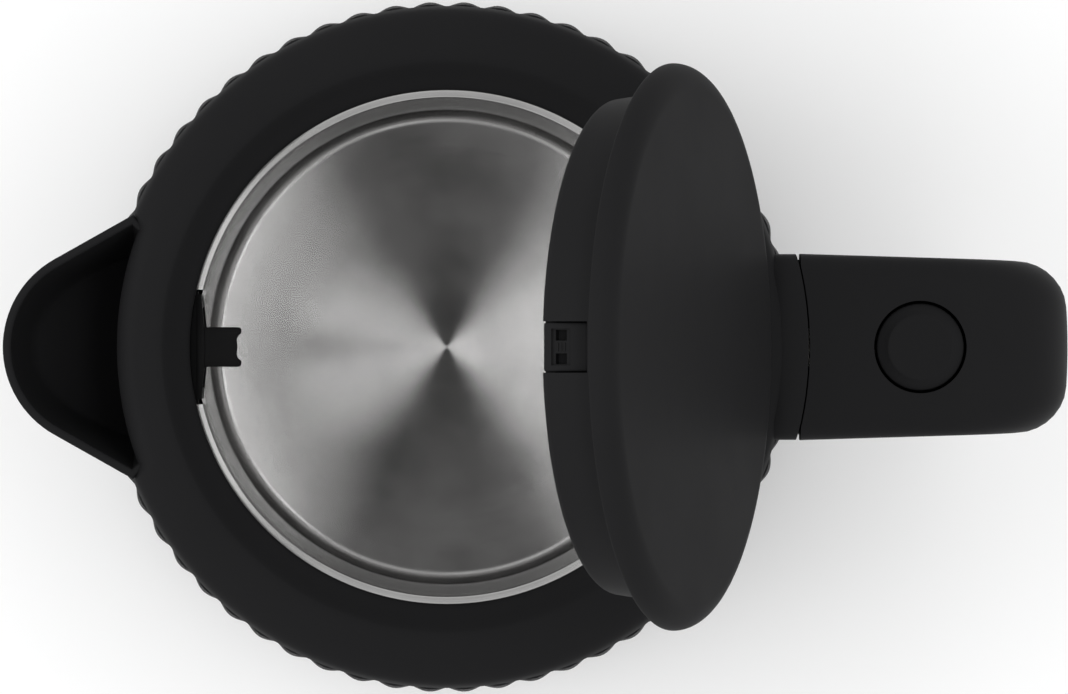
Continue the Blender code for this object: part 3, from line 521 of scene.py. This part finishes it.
def spout_outline(depth, inset, root_x, count):
    """Plan of the spout at a share of its depth, from one root corner round to the other."""
    tip = SPOUT_TIP_X + SPOUT_TIP_BACK * depth ** 1.3 + inset
    half_w = SPOUT_ROOT_W - SPOUT_NARROWING * depth - inset * 1.15
    reach = SPOUT_ROOT_X - tip
    radius = (half_w * cos(SPOUT_FLANK) - sin(SPOUT_FLANK) * reach) / (1 - sin(SPOUT_FLANK))
    opening = pi / 2 - SPOUT_FLANK
    if radius * (1 - cos(opening)) > reach - 0.5:
        radius = (reach ** 2 + half_w ** 2) / (2 * reach)
        opening = atan2(half_w, radius - reach) * 0.97
    turn = degrees(opening)
    nose = arc((tip + radius, 0), radius, 180 - turn, 180 + turn, count)
    flank = [(SPOUT_ROOT_X + (nose[0][0] - SPOUT_ROOT_X) * t, half_w + (nose[0][1] - half_w) * t)
             for t in (0.0, 0.33, 0.67)]
    back = [(root_x, half_w - (root_x - SPOUT_ROOT_X) * 0.9)]
    side = back + flank
    return side + nose + [(x, -y) for x, y in reversed(side)]


def spout_volume(inset, low, high):
    """The whole space of the spout, to cut from what it passes through."""
    rings = []
    for z in (low + (high - low) * k / 9 for k in range(10)):
        depth = min(max((SPOUT_TOP - z) / (SPOUT_TOP - SPOUT_LOW), 0), 1)
        rings.append([(x, y, CREST_Z + z) for x, y in spout_outline(depth, inset, -60.0, 15)])
    return loft(rings)


def spout():
    """Beak with a rounded rim, walls open towards the filter, and a solid heel below."""
    low, high = SPOUT_LOW + 5, SPOUT_TOP - SPOUT_RIM_H
    count = 33

    def ring(z, outer, inner, lift=0.0):
        depth = (SPOUT_TOP - z) / (SPOUT_TOP - SPOUT_LOW)
        outside = spout_outline(depth, outer, SPOUT_BACK_X, count)
        points = [(x, y, CREST_Z + z + lift) for x, y in outside]
        if inner is None:
            last = len(outside) - 1
            half_w = outside[0][1]
            return points + [(SPOUT_BACK_X, half_w * (2 * k / last - 1), CREST_Z + z)
                             for k in range(last + 1)]
        inside = spout_outline(depth, inner, SPOUT_BACK_X, count)[::-1]
        floors = [SPOUT_FLOOR + SPOUT_FLOOR_RISE * (SPOUT_BACK_X - x) for x, _ in inside]
        return points + [(x, y, CREST_Z + max(z + lift, floor))
                         for (x, y), floor in zip(inside, floors)]

    heel = SPOUT_CLOSED_BELOW
    rings = [ring(low + (heel - low) * k / 6, 0, None) for k in range(7)]
    rings += [ring(heel + (high - heel) * k / 14, 0, SPOUT_WALL) for k in range(15)]
    for a in (radians(11 * k) for k in range(1, 8)):
        lean = SPOUT_WALL / 2 * (1 - cos(a))
        rings.append(ring(high, lean, SPOUT_WALL - lean, SPOUT_RIM_H * sin(a)))
    beak = raw("spout_beak", loft(rings))
    weld(beak)
    cut(beak, column(BRIDGE_R - 0.4, CREST_Z - BRIDGE_DROP, CREST_Z + 20, MEDIUM))
    return finish_piece(beak, SHELL, "kettle", "shell_black", "spout")


def collar():
    """Smooth ring round the opening, cut back over the spout, and the lid's hinge pocket."""
    top = smooth_curve([(OPENING_R, -5.6), (57.3, -4.75), (59.6, -2.95), (62.2, -0.75),
                        (63.4, -0.2), (65.4, 0), (68.4, -0.12), (70.6, -0.6), (72.8, -1.9),
                        (74.4, -4.0), (COLLAR_R, -7.0)], 4)
    outline = top + [(COLLAR_R, -9.4), (COLLAR_R - 0.3, -COLLAR_DROP), (72.7, -COLLAR_DROP),
                     (71.4, -4.9), (69.6, -3.3), (64.2, -3.1), (60.4, -6.0), (60.4, -8.0),
                     (57.0, -8.0), (OPENING_R, -7.7)]
    squeeze = (BRIDGE_R - COLLAR_BEND_R) / (COLLAR_R - COLLAR_BEND_R)
    rows = []
    for r, z in outline:
        row = []
        for a in full_circle(360):
            share = min(max(BRIDGE_HALF_DEG + 0.5 - abs(degrees(a) - 180), 0), 1)
            reach = r
            if r >= COLLAR_BEND_R:
                reach = COLLAR_BEND_R + (r - COLLAR_BEND_R) * (1 + (squeeze - 1) * share)
            row.append((reach * cos(a), reach * sin(a), CREST_Z + z))
        rows.append(row)
    ring = raw("collar_ring", loft(rows + [rows[0]], capped=False))
    weld(ring)
    hinge_gap, latch_gap = (-10.3, 10.3), (-2.4, 2.4)
    cut(ring, box((52, 70.6), hinge_gap, (CREST_Z - 12, CREST_Z + 3)))
    cut(ring, box((62, 80), latch_gap, (CREST_Z - 23, CREST_Z - 4.6)))
    finish_piece(ring, SHELL, "kettle", "shell_black", "collar")
    pocket = raw("hinge_pocket",
                 box((61.8, 70.9), (-13.6, 13.6), (CREST_Z - 13.4, CREST_Z - 2.6)))
    cut(pocket, box((60, 70.6), hinge_gap, (CREST_Z - 8.7, CREST_Z + 3)))
    cut(pocket, box((60, 74), latch_gap, (CREST_Z - 23, CREST_Z - 4)))
    cut(pocket, rod(HINGE_BORE_R, (HINGE_X, -16, HINGE_Z), (HINGE_X, 16, HINGE_Z)))
    finish_piece(pocket, SHELL, "kettle", "shell_black")


def handle_root():
    """Short block that carries the handle, ending in an arc at the seam."""
    root = raw("handle_root", loft([[(x, y, z) for y, z in level_section()]
                                    for x in (71.5, 86.0)]))
    end_r = HANDLE_SEAM_R - 0.3
    cut(root, turned([(end_r, 180), (100, 180), (100, 260), (end_r, 260)]))
    bevel(root, 0.35, angle=50)
    under_collar, in_collar = CREST_Z - COLLAR_DROP, CREST_Z - 4.6
    cut(root, turned([(0, 150), (77.6, 150), (77.6, under_collar), (72.4, under_collar),
                      (72.4, in_collar), (0, in_collar)], MEDIUM))
    nose_slot, slider_room = (CREST_Z - 30, CREST_Z - 5.4), (CREST_Z - 14.2, CREST_Z - 9.6)
    cut(root, box((60, 82), (-2.6, 2.6), nose_slot))
    cut(root, box((76, 82), (-4.6, 4.6), slider_room))
    return finish_piece(root, SHELL, "kettle", "shell_black")


def inner_pot():
    """Deep-drawn steel pot with a ledge below its flange and a pouring window."""
    ledge_z, wall_r, foot_r = POT_TOP_Z - POT_LEDGE_DROP, POT_R - POT_LEDGE_W, POT_R - POT_TAPER
    turn = (foot_r - POT_FILLET_R, POT_FLOOR_Z + POT_FILLET_R)
    fillet = arc(turn, POT_FILLET_R, 0, -90, 12)
    fillet_out = arc(turn, POT_FILLET_R + POT_WALL, -90, 0, 8)
    lip = arc((POT_R + 1.2, POT_TOP_Z - 1.2), 1.2, 90, 180, 5)
    ledge = [(POT_R, ledge_z + 0.7), (POT_R - 0.15, ledge_z + 0.25),
             (POT_R - 0.5, ledge_z + 0.05), (wall_r + 0.35, ledge_z),
             (wall_r + 0.08, ledge_z - 0.14), (wall_r, ledge_z - 0.5)]
    walls = [(wall_r + (foot_r - wall_r) * k / 8, ledge_z + (turn[1] - ledge_z) * k / 8)
             for k in range(1, 8)]
    floor_rings = [(r, POT_FLOOR_Z) for r in (45, 30, 15, 5)]
    profile = [(0, POT_FLOOR_Z - POT_WALL), (turn[0], POT_FLOOR_Z - POT_WALL)] + fillet_out[1:]
    profile += [(wall_r + POT_WALL, ledge_z - 1.2), (POT_R + POT_WALL, ledge_z - 0.2),
                (POT_R + POT_WALL, POT_TOP_Z - 1.2), (POT_R + 1.4, POT_TOP_Z - 0.8),
                (POT_FLANGE_R, POT_TOP_Z - 0.8), (POT_FLANGE_R, POT_TOP_Z)]
    profile += lip + ledge + walls + fillet + floor_rings + [(0, POT_FLOOR_Z)]
    pot = raw("steel_pot", turned(profile))
    cut(pot, box((-70, -45), (-POT_WINDOW_HALF_W, POT_WINDOW_HALF_W), POT_WINDOW_Z))
    flange_notch_x = (59.6, 64)
    cut(pot, box(flange_notch_x, (-2.5, 2.5), (POT_TOP_Z - 3, POT_TOP_Z + 3)))
    return finish_piece(pot, POT_STEEL, "kettle", "pot_steel", "inner_pot")


# --- handle -------------------------------------------------------------------------------

def handle_path():
    """Middle line of the handle as (x, z, direction in degrees)."""
    stations = [(78.0 + 4.0 * k, HANDLE_MID_Z, 0.0) for k in range(8)]
    top_bend = HANDLE_MID_Z - CORNER_R
    for k in range(19):
        a = 5.0 * k
        stations.append((CORNER_X + CORNER_R * sin(radians(a)),
                         top_bend + CORNER_R * cos(radians(a)), -a))
    low_bend = FOOT_Z + FOOT_BEND_R
    for k in range(1, 12):
        t = k / 12
        stations.append((GRIP_X - GRIP_LEAN * t, top_bend + (low_bend - top_bend) * t, -90.0))
    foot_x = GRIP_X - GRIP_LEAN - FOOT_BEND_R
    for k in range(13):
        a = 7.5 * k
        stations.append((foot_x + FOOT_BEND_R * cos(radians(a)),
                         low_bend - FOOT_BEND_R * sin(radians(a)), -90 - a))
    return stations + [(x, FOOT_Z, -180.0) for x in (95.0, 88.0, 81.0, 76.0)]


def handle_width(x):
    """Half the handle's width, which narrows slowly away from the body."""
    return HANDLE_HALF_W - HANDLE_NARROWING * (x - HANDLE_ROOT_X)


def rounded_half(half_w, half_t, corner, split, upper, wall):
    """U section of one handle shell as (across, outward) points, outside then inside."""
    def side(inset):
        w, t, r = half_w - inset, half_t - inset, max(corner - inset, 0.8)
        crown = arc((-(w - r), t - r), r, 180, 90, 8)
        across = [(-(w - r) + 2 * (w - r) * k / 12, t) for k in range(1, 12)]
        return [(-w, 0.0)] + crown + across + [(-y, v) for y, v in reversed(crown)] + [(w, 0.0)]

    sign = 1 if upper else -1
    edge = split + 0.15 * sign
    outside = side(0)
    outline = [(y, sign * v if v else edge) for y, v in outside + side(wall)[::-1]]
    last, chamfer = len(outside) - 1, 0.25
    outline[0] = (outline[0][0] + chamfer, edge)
    outline[last] = (outline[last][0] - chamfer, edge)
    lift = 0.3 * sign
    return ([outline[0], (outline[0][0] - chamfer, edge + lift)] + outline[1:last]
            + [(outline[last][0] + chamfer, edge + lift)] + outline[last:])


def level_section():
    """(y, z) outline of the handle's level top part at the body."""
    w, t, r = handle_width(HANDLE_ROOT_X), HANDLE_T / 2, HANDLE_CORNER
    points = []
    for cx, cz, start in ((w - r, t - r, 90), (w - r, -(t - r), 0), (-(w - r), -(t - r), -90),
                          (-(w - r), t - r, -180)):
        points += [(y, HANDLE_MID_Z + v) for y, v in arc((cx, cz), r, start, start - 90, 8)]
    return points


def handle():
    """Outer shell and inner cover of the handle, and the bracket that carries the lever."""
    pieces = []
    for name, upper, node_name in (("handle_shell", True, "handle_outer_shell"),
                                   ("handle_grip", False, "handle_inner_cover")):
        rings = []
        for x, z, direction in handle_path():
            a = radians(direction)
            outward = Vector((-sin(a), 0, cos(a)))
            bend = min(1.0, -direction / 90)
            half_w = handle_width(x) - 0.2 * bend
            crown = 1.3 * bend
            ring = []
            for y, out in rounded_half(half_w, HANDLE_T / 2 - 0.6 * bend,
                                       HANDLE_CORNER + 5.2 * bend, HANDLE_SPLIT, upper,
                                       HANDLE_WALL):
                swell = crown * (1 - (y / half_w) ** 2) if out > 0 else 0
                ring.append(tuple(Vector((x, y, z)) + outward * (out + swell)))
            rings.append(ring)
        piece = raw(name, loft(rings))
        dish(piece)
        cut(piece, column(HANDLE_SEAM_R, 100, 260, FINE))
        cut(piece, column(77.7, 30, 100, FINE))
        pieces.append((piece, node_name))
    outer = pieces[0][0]
    cut(outer, rod(BUTTON_HOLE_R, (BUTTON_X, 0, CREST_Z - 9), (BUTTON_X, 0, CREST_Z + 3), 96))
    for piece, node_name in pieces:
        finish_piece(piece, HANDLE, "kettle", "handle_black", node_name)
    x, _, z = (value / MM for value in JOINTS["lever_turn"]["pos_m"])
    floor = CREST_Z - 24.2
    block = raw("lever_bracket", box((x - 2.6, x + 2.6), (-5.6, 5.6), (floor, z + 2)))
    cut(block, box((x - 4, x + 4), (-3.4, 3.4), (floor + 1, z + 8)))
    cut(block, rod(1.3, (x, -8, z), (x, 8, z)))
    finish_piece(block, HANDLE, "kettle", "handle_black")


def dish(piece):
    """Press a shallow dish into the handle's top round the button."""
    for vertex in piece.data.vertices:
        x, y, z = (c / MM for c in vertex.co)
        away = hypot(x - BUTTON_X, y)
        if z > HANDLE_MID_Z + 6 and away < DISH_R:
            vertex.co.z -= DISH_DEPTH * MM * (0.5 + 0.5 * cos(pi * away / DISH_R))


def lid_button():
    """Button cap with the stem that presses on the release lever."""
    top = top_of("lid_button")
    cap = [(0, top - 0.15), (4, top - 0.14), (6.6, top - 0.1)]
    cap += arc((6.9, top - 0.75), 0.7, 80, 45, 4)
    cap += [(8.6, top - 1.3)] + arc((8.7, top - 2.2), 0.9, 50, 0, 5)
    cap += [(BUTTON_R, top - 6), (BUTTON_R - 2, top - 6), (BUTTON_R - 2, top - 2.6),
            (0, top - 2.6)]
    button = raw("button_cap", turned(cap, 96, (BUTTON_X, 0)))
    stem_z = JOINTS["lever_turn"]["pos_m"][2] / MM + STEM_LIFT
    stem = [(STEM_X - 0.6, stem_z), (STEM_X + 1.4, stem_z),
            (STEM_X + 3.4, top - 1.8), (STEM_X - 0.6, top - 1.8)]
    join(button, side_prism(stem, (-2.4, 2.4)))
    return finish_piece(button, HANDLE, "lid_button", "handle_black", "lid_button")


# --- lid ----------------------------------------------------------------------------------

def swing_open(piece):
    """Turn a piece that was built closed to the open rest position."""
    hinge = Vector((HINGE_X, 0, HINGE_Z)) * MM
    turn = Matrix.Rotation(radians(LID_OPEN_DEG), 4, "Y")
    piece.data.transform(Matrix.Translation(hinge) @ turn @ Matrix.Translation(-hinge))
    piece.data.update()


def lid():
    """Cover, liner, hinge arms and front insert, built closed and swung open."""
    n = RIM_Z
    edge = [(LID_R - LID_EDGE_R + LID_EDGE_R * cos(t), n + 0.5 + LID_EDGE_H * sin(t))
            for t in (radians(90 - 5 * k) for k in range(19))]
    dome = [(0, n + 6.1), (12, n + 6.08), (24, n + 5.98), (36, n + 5.82), (48, n + 5.58)]
    cover = dome + edge + [(LID_R - 0.05, n + 0.25), (LID_R - 0.3, n), (LID_R - 1.9, n),
                           (LID_R - 2.3, n + 1.2), (55.6, n + 3.0), (0, n + 3.2)]
    top = raw("lid_top", turned(cover))
    swing_open(top)
    finish_piece(top, LID, "lid", "lid_black", "lid_cover")

    low = n - LID_SKIRT_H
    foot_r = LID_SKIRT_R - 0.9
    liner_profile = [(0, low + 0.35), (38, low + 0.3), (46, low), (foot_r - 2, low)]
    liner_profile += arc((foot_r - 1.8, low + 1.8), 1.8, -80, 0, 8)
    liner_profile += [(LID_SKIRT_R + 0.7, n - 0.4), (LID_SKIRT_R + 0.9, n), (58.2, n),
                      (58.2, n + 1.4), (foot_r - 2, n + 1.4), (foot_r - 2, low + 2.2),
                      (0, low + 2.2)]
    liner = raw("lid_liner_shell", turned(liner_profile))
    cut(liner, box((-58, -49.9), (-5.45, 5.45), (low - 2, n - 2.2)))
    cut(liner, box((53.0, 58), (-2.2, 2.2), (low - 2, n - 0.6)))
    swing_open(liner)
    finish_piece(liner, LID, "lid", "lid_black", "lid_liner")

    knuckle = arc((HINGE_X, HINGE_Z), KNUCKLE_R, -100, 115, 25)
    arm = [(53.6, n - 0.5), (53.6, n - 6.4), (60.5, n - 6.8)] + knuckle + [(61.8, n - 0.5)]
    for k, (start, end) in enumerate(((-9.8, -6.2), (2.3, 9.8))):
        piece = raw(f"lid_hinge_arm_{k + 1}", side_prism(arm, (start, end)))
        cut(piece, rod(HINGE_BORE_R, (HINGE_X, -12, HINGE_Z), (HINGE_X, 12, HINGE_Z)))
        bevel(piece, 0.3)
        swing_open(piece)
        finish_piece(piece, LID, "lid", "lid_black")

    block = raw("lid_insert", box((-53.4, -50.2), (-5.2, 5.2), (low + 0.6, n - 2.5)))
    bevel(block, 0.5, 3)
    cut(block, box((-54, -52.9), (-3.9, 3.9), (low + 2.4, low + 6.6)))
    for y in (-2.5, 2.5):
        cut(block, box((-54, -50.8), (y - 1.15, y + 1.15), (low + 3.2, low + 5.7)))
    for z in (low + 3.7, low + 4.45, low + 5.2):
        join(block, box((-53.1, -52.5), (-0.9, 0.9), (z - 0.13, z + 0.13)))
    swing_open(block)
    finish_piece(block, LID, "lid", "lid_black", "lid_front_insert")


# --- filter -------------------------------------------------------------------------------

def pouring_filter():
    """Filter frame with its grip tab, and the woven gauze in it."""
    low, high = CREST_Z - FILTER_LOW_DROP, CREST_Z - FILTER_HIGH_DROP
    front = [(-53.5, 0), (-53.62, 2.5), (-53.75, 5.0), (-54.05, 8.0), (-54.4, 11.6)]
    plan = [(x, -y) for x, y in reversed(front)] + front[1:] + [(-55.3, 11.6), (-55.3, -11.6)]
    edge = raw("filter_surround", upright_prism(plan, (low, high)))
    cut(edge, box((-60, -50), (-9, 9), (low + 3, high - 4)))
    wall_r = POT_R - 0.2
    back = [(-sqrt(wall_r ** 2 - y * y), y) for y in (12.4 - 24.8 * k / 16 for k in range(17))]
    bar = [(-54.9, -12.4), (-54.9, 12.4)] + back
    join(edge, upright_prism(bar, (high - 2.6, high - 0.25)))
    tab_side = [(-54.6, -4.4), (-46.0, -4.4), (-45.5, -4.0), (-45.5, -3.0), (-46.2, -2.5),
                (-46.5, -1.6)]
    tab = tab_side + [(-46.3, 0)] + [(x, -y) for x, y in reversed(tab_side)]
    join(edge, upright_prism(tab, (high - 1.9, high - 0.3)))
    bevel(edge, 0.2)
    finish_piece(edge, FILTER, "filter", "filter_black", "filter_frame")
    wires = bmesh.new()
    span_y, span_z = (-9.2, 9.2), (low + 2.8, high - 3.8)
    across, upward = ([start + WIRE_PITCH * k for k in range(int((end - start) / WIRE_PITCH) + 1)]
                      for start, end in (span_y, span_z))
    runs = [((-54.62, y, span_z[0]), (-54.62, y, span_z[1])) for y in across]
    runs += [((-54.86, span_y[0], z), (-54.86, span_y[1], z)) for z in upward]
    for start, end in runs:
        part = rod(WIRE_R, start, end, 6)
        data = bpy.data.meshes.new("wire")
        part.to_mesh(data)
        part.free()
        wires.from_mesh(data)
        bpy.data.meshes.remove(data)
    finish_piece(raw("filter_gauze", wires), WIRE_STEEL, "filter", "mesh_steel", "filter_mesh")


# --- power base and underside ---------------------------------------------------------------

def round_places(radius, count, first_deg):
    """Evenly spaced (x, y) places on a circle."""
    angles = [radians(first_deg + 360 * k / count) for k in range(count)]
    return [(radius * cos(a), radius * sin(a)) for a in angles]


def screw_hole(piece, place, head_z, shank_z):
    """Cut a recess for a screw's head and a hole for its shank."""
    for radius, (low, high) in ((SCREW_HEAD_R, head_z), (SCREW_SHANK_R, shank_z)):
        cut(piece, rod(radius, (*place, low), (*place, high)))


def power_base():
    """Base shell, plate, feet and connector tower, and the kettle's bottom cover."""
    outer = [(BASE_R - 0.35, 2.5)] + arc((BASE_R - 0.6, 3.1), 0.6, -20, 0, 3)
    outer += [(BASE_R, 9.0)] + arc((BASE_R - 7.5, 12.4), 7.5, 0, 90, 16)
    outer += [(50, BASE_TOP_Z - 0.1), (30, BASE_TOP_Z - 0.2), (19, BASE_TOP_Z - 0.2),
              (17.6, BASE_TOP_Z), (CONNECTOR_R + 0.9, BASE_TOP_Z), (CONNECTOR_R + 0.4, 19.5)]
    inner = [(CONNECTOR_R + 0.4, 17.6), (BASE_R - 8, 17.6), (BASE_R - 4.9, 16.2),
             (BASE_R - 2.5, 12.4), (BASE_R - 2.5, 2.5)]
    top = raw("base_shell", turned(outer + inner))
    cut(top, rod(5.6, (BASE_R - 5, 0, 10.6), (BASE_R + 5, 0, 10.6)))
    finish_piece(top, BASE, "power_base", "base_black", "power_base_top")
    plate = raw("base_plate", turned([(0, 0), (11.6, 0), (12, 0.2), (12.8, 1), (BASE_R - 3.2, 1),
                                      (BASE_R - 2.9, 1.3), (BASE_R - 2.9, 4), (0, 4)]))
    for place in round_places(48, 3, 90):
        screw_hole(plate, place, (-4, 2.9), (2, 6))
    for k, (x, y) in enumerate(round_places(62, 4, 45)):
        cut(plate, rod(6.35, (x, y, -1), (x, y, 3), 48))
        foot = [(0, 0), (4.2, 0), (4.5, 0.35), (4.9, 0.35), (5.2, 0)]
        foot += arc((5.4, 0.6), 0.6, -90, 0, 5) + [(6.0, 2.65), (0, 2.65)]
        finish_piece(raw(f"foot_{k + 1}", turned(foot, 48, (x, y))), RUBBER, "power_base",
                     "foot_rubber", f"base_foot_{k + 1}")
    finish_piece(plate, BASE, "power_base", "base_black", "power_base_bottom")
    high = top_of("base_connector")
    groove_z = 22
    tower = [(3.4, 14), (3.4, high - 0.4), (3.8, high), (4.8, high), (5.0, high - 0.2),
             (5.0, groove_z), (7.6, groove_z), (7.6, high - 0.2), (7.8, high), (9.0, high),
             (9.2, high - 0.2), (9.2, groove_z), (11.8, groove_z), (11.8, high - 0.2),
             (12.0, high)]
    tower += arc((CONNECTOR_R - 0.8, high - 0.8), 0.8, 90, 0, 5)
    tower += [(CONNECTOR_R, 17.2), (19, 17.2), (19, 14)]
    finish_piece(raw("connector_tower", turned(tower, 96)), BASE, "power_base", "base_black",
                 "base_connector")
    cover = [(16.3, 20.5), (69.0, 20.5)] + arc((69.2, 24.4), 3.9, -88, -20, 8)
    cover += [(74.2, 23.55), (74.2, 23.8), (16.3, 23.8)]
    under = raw("kettle_underside", turned(cover))
    for place in round_places(68.6, 3, 60):
        screw_hole(under, place, (15, 22.4), (15, 30))
    finish_piece(under, BASE, "kettle", "base_black", "bottom_cover")


# CAD nodes that keep their own mesh, by finished material
CARRIED_OVER = {
    BRIGHT_STEEL: ["base_screw_1", "base_screw_2", "base_screw_3", "bottom_screw_1",
                   "bottom_screw_2", "bottom_screw_3", "handle_screw_1", "handle_screw_2",
                   "lid_hinge_pin", "lid_spring", "button_spring", "latch_spring",
                   "release_lever_pin", "switch_pivot", "lid_keeper"],
    BRASS: ["contact_ring_live", "contact_ring_neutral", "earth_pin", "socket_contact_live",
            "socket_contact_neutral", "bimetal_disc"],
    PALE: ["connector_socket", "control_unit", "release_lever", "latch_slider"],
    SILICONE: ["pot_gasket", "steam_tube"],
    RUBBER: ["cord_gland"],
    ELEMENT_STEEL: ["heating_element"],
    ALUMINIUM: ["heat_plate"],
    HANDLE: ["switch_lever"],
}


def repaint():
    """Give the CAD nodes that stay in view their finished materials."""
    for material, names in CARRIED_OVER.items():
        for name in names:
            piece = frame["nodes"][name]
            piece.data.materials.clear()
            piece.data.materials.append(material)
            piece.data.shade_smooth()
            piece.data.set_sharp_from_angle(angle=radians(CAD_SHARP_DEG))


# --- stage --------------------------------------------------------------------------------

def panel(name, place, aim, size, power):
    """A soft light panel that faces a point."""
    data = bpy.data.lights.new(name, "AREA")
    data.shape = "RECTANGLE"
    data.size, data.size_y = size
    data.energy = power
    made = linked(name, data)
    made.location = place
    made.rotation_euler = (Vector(aim) - Vector(place)).to_track_quat("-Z", "Y").to_euler()


def stage():
    """Camera straight above, floor, surroundings and three light panels."""
    camera_data = bpy.data.cameras.new("camera")
    camera_data.sensor_width = 36.0
    camera_data.lens = CAMERA_LENS
    camera_data.shift_x = CAMERA_SHIFT
    camera_data.clip_end = 50
    camera = linked("camera", camera_data)
    camera.location = (0, 0, CREST_Z * MM + CAMERA_ABOVE)
    scene = bpy.context.scene
    scene.camera = camera
    scene.view_settings.view_transform = "Standard"

    mesh = bmesh.new()
    bmesh.ops.create_grid(mesh, x_segments=1, y_segments=1, size=FLOOR_HALF)
    data = bpy.data.meshes.new("floor")
    mesh.to_mesh(data)
    mesh.free()
    floor = linked("floor", data)
    floor.location.z = FLOOR_Z
    paint, _, shader = new_material("floor_paint")
    shader.inputs["Base Color"].default_value = (*[FLOOR_ALBEDO] * 3, 1)
    shader.inputs["Roughness"].default_value = 0.9
    data.materials.append(paint)

    scene.world = studio_world()
    for x in (-HIGH_PANEL_X, HIGH_PANEL_X):
        panel("high_panel", (x, 0, HIGH_PANEL_Z), (x, 0, 0), (0.62, 1.1), HIGH_PANEL_W)
    panel("left_panel", LEFT_PANEL_PLACE, (0, 0, 0.15), (1.6, 0.9), LEFT_PANEL_W)


def studio_world():
    """White walls all round and a dark ceiling, blended by height."""
    world = bpy.data.worlds.new("studio")
    world.use_nodes = True
    tree = world.node_tree
    split = node(tree, "ShaderNodeSeparateXYZ")
    tree.links.new(node(tree, "ShaderNodeTexCoord").outputs["Generated"], split.inputs[0])
    tree.links.new(ramp(tree, split.outputs["Z"], WALLS, CEILING, CEILING_FROM, CEILING_TO),
                   tree.nodes["Background"].inputs["Strength"])
    tree.nodes["Background"].inputs["Color"].default_value = (1, 1, 1, 1)
    return world


outer_shell()
spout()
collar()
handle_root()
inner_pot()
handle()
lid_button()
lid()
pouring_filter()
power_base()
repaint()
stage()
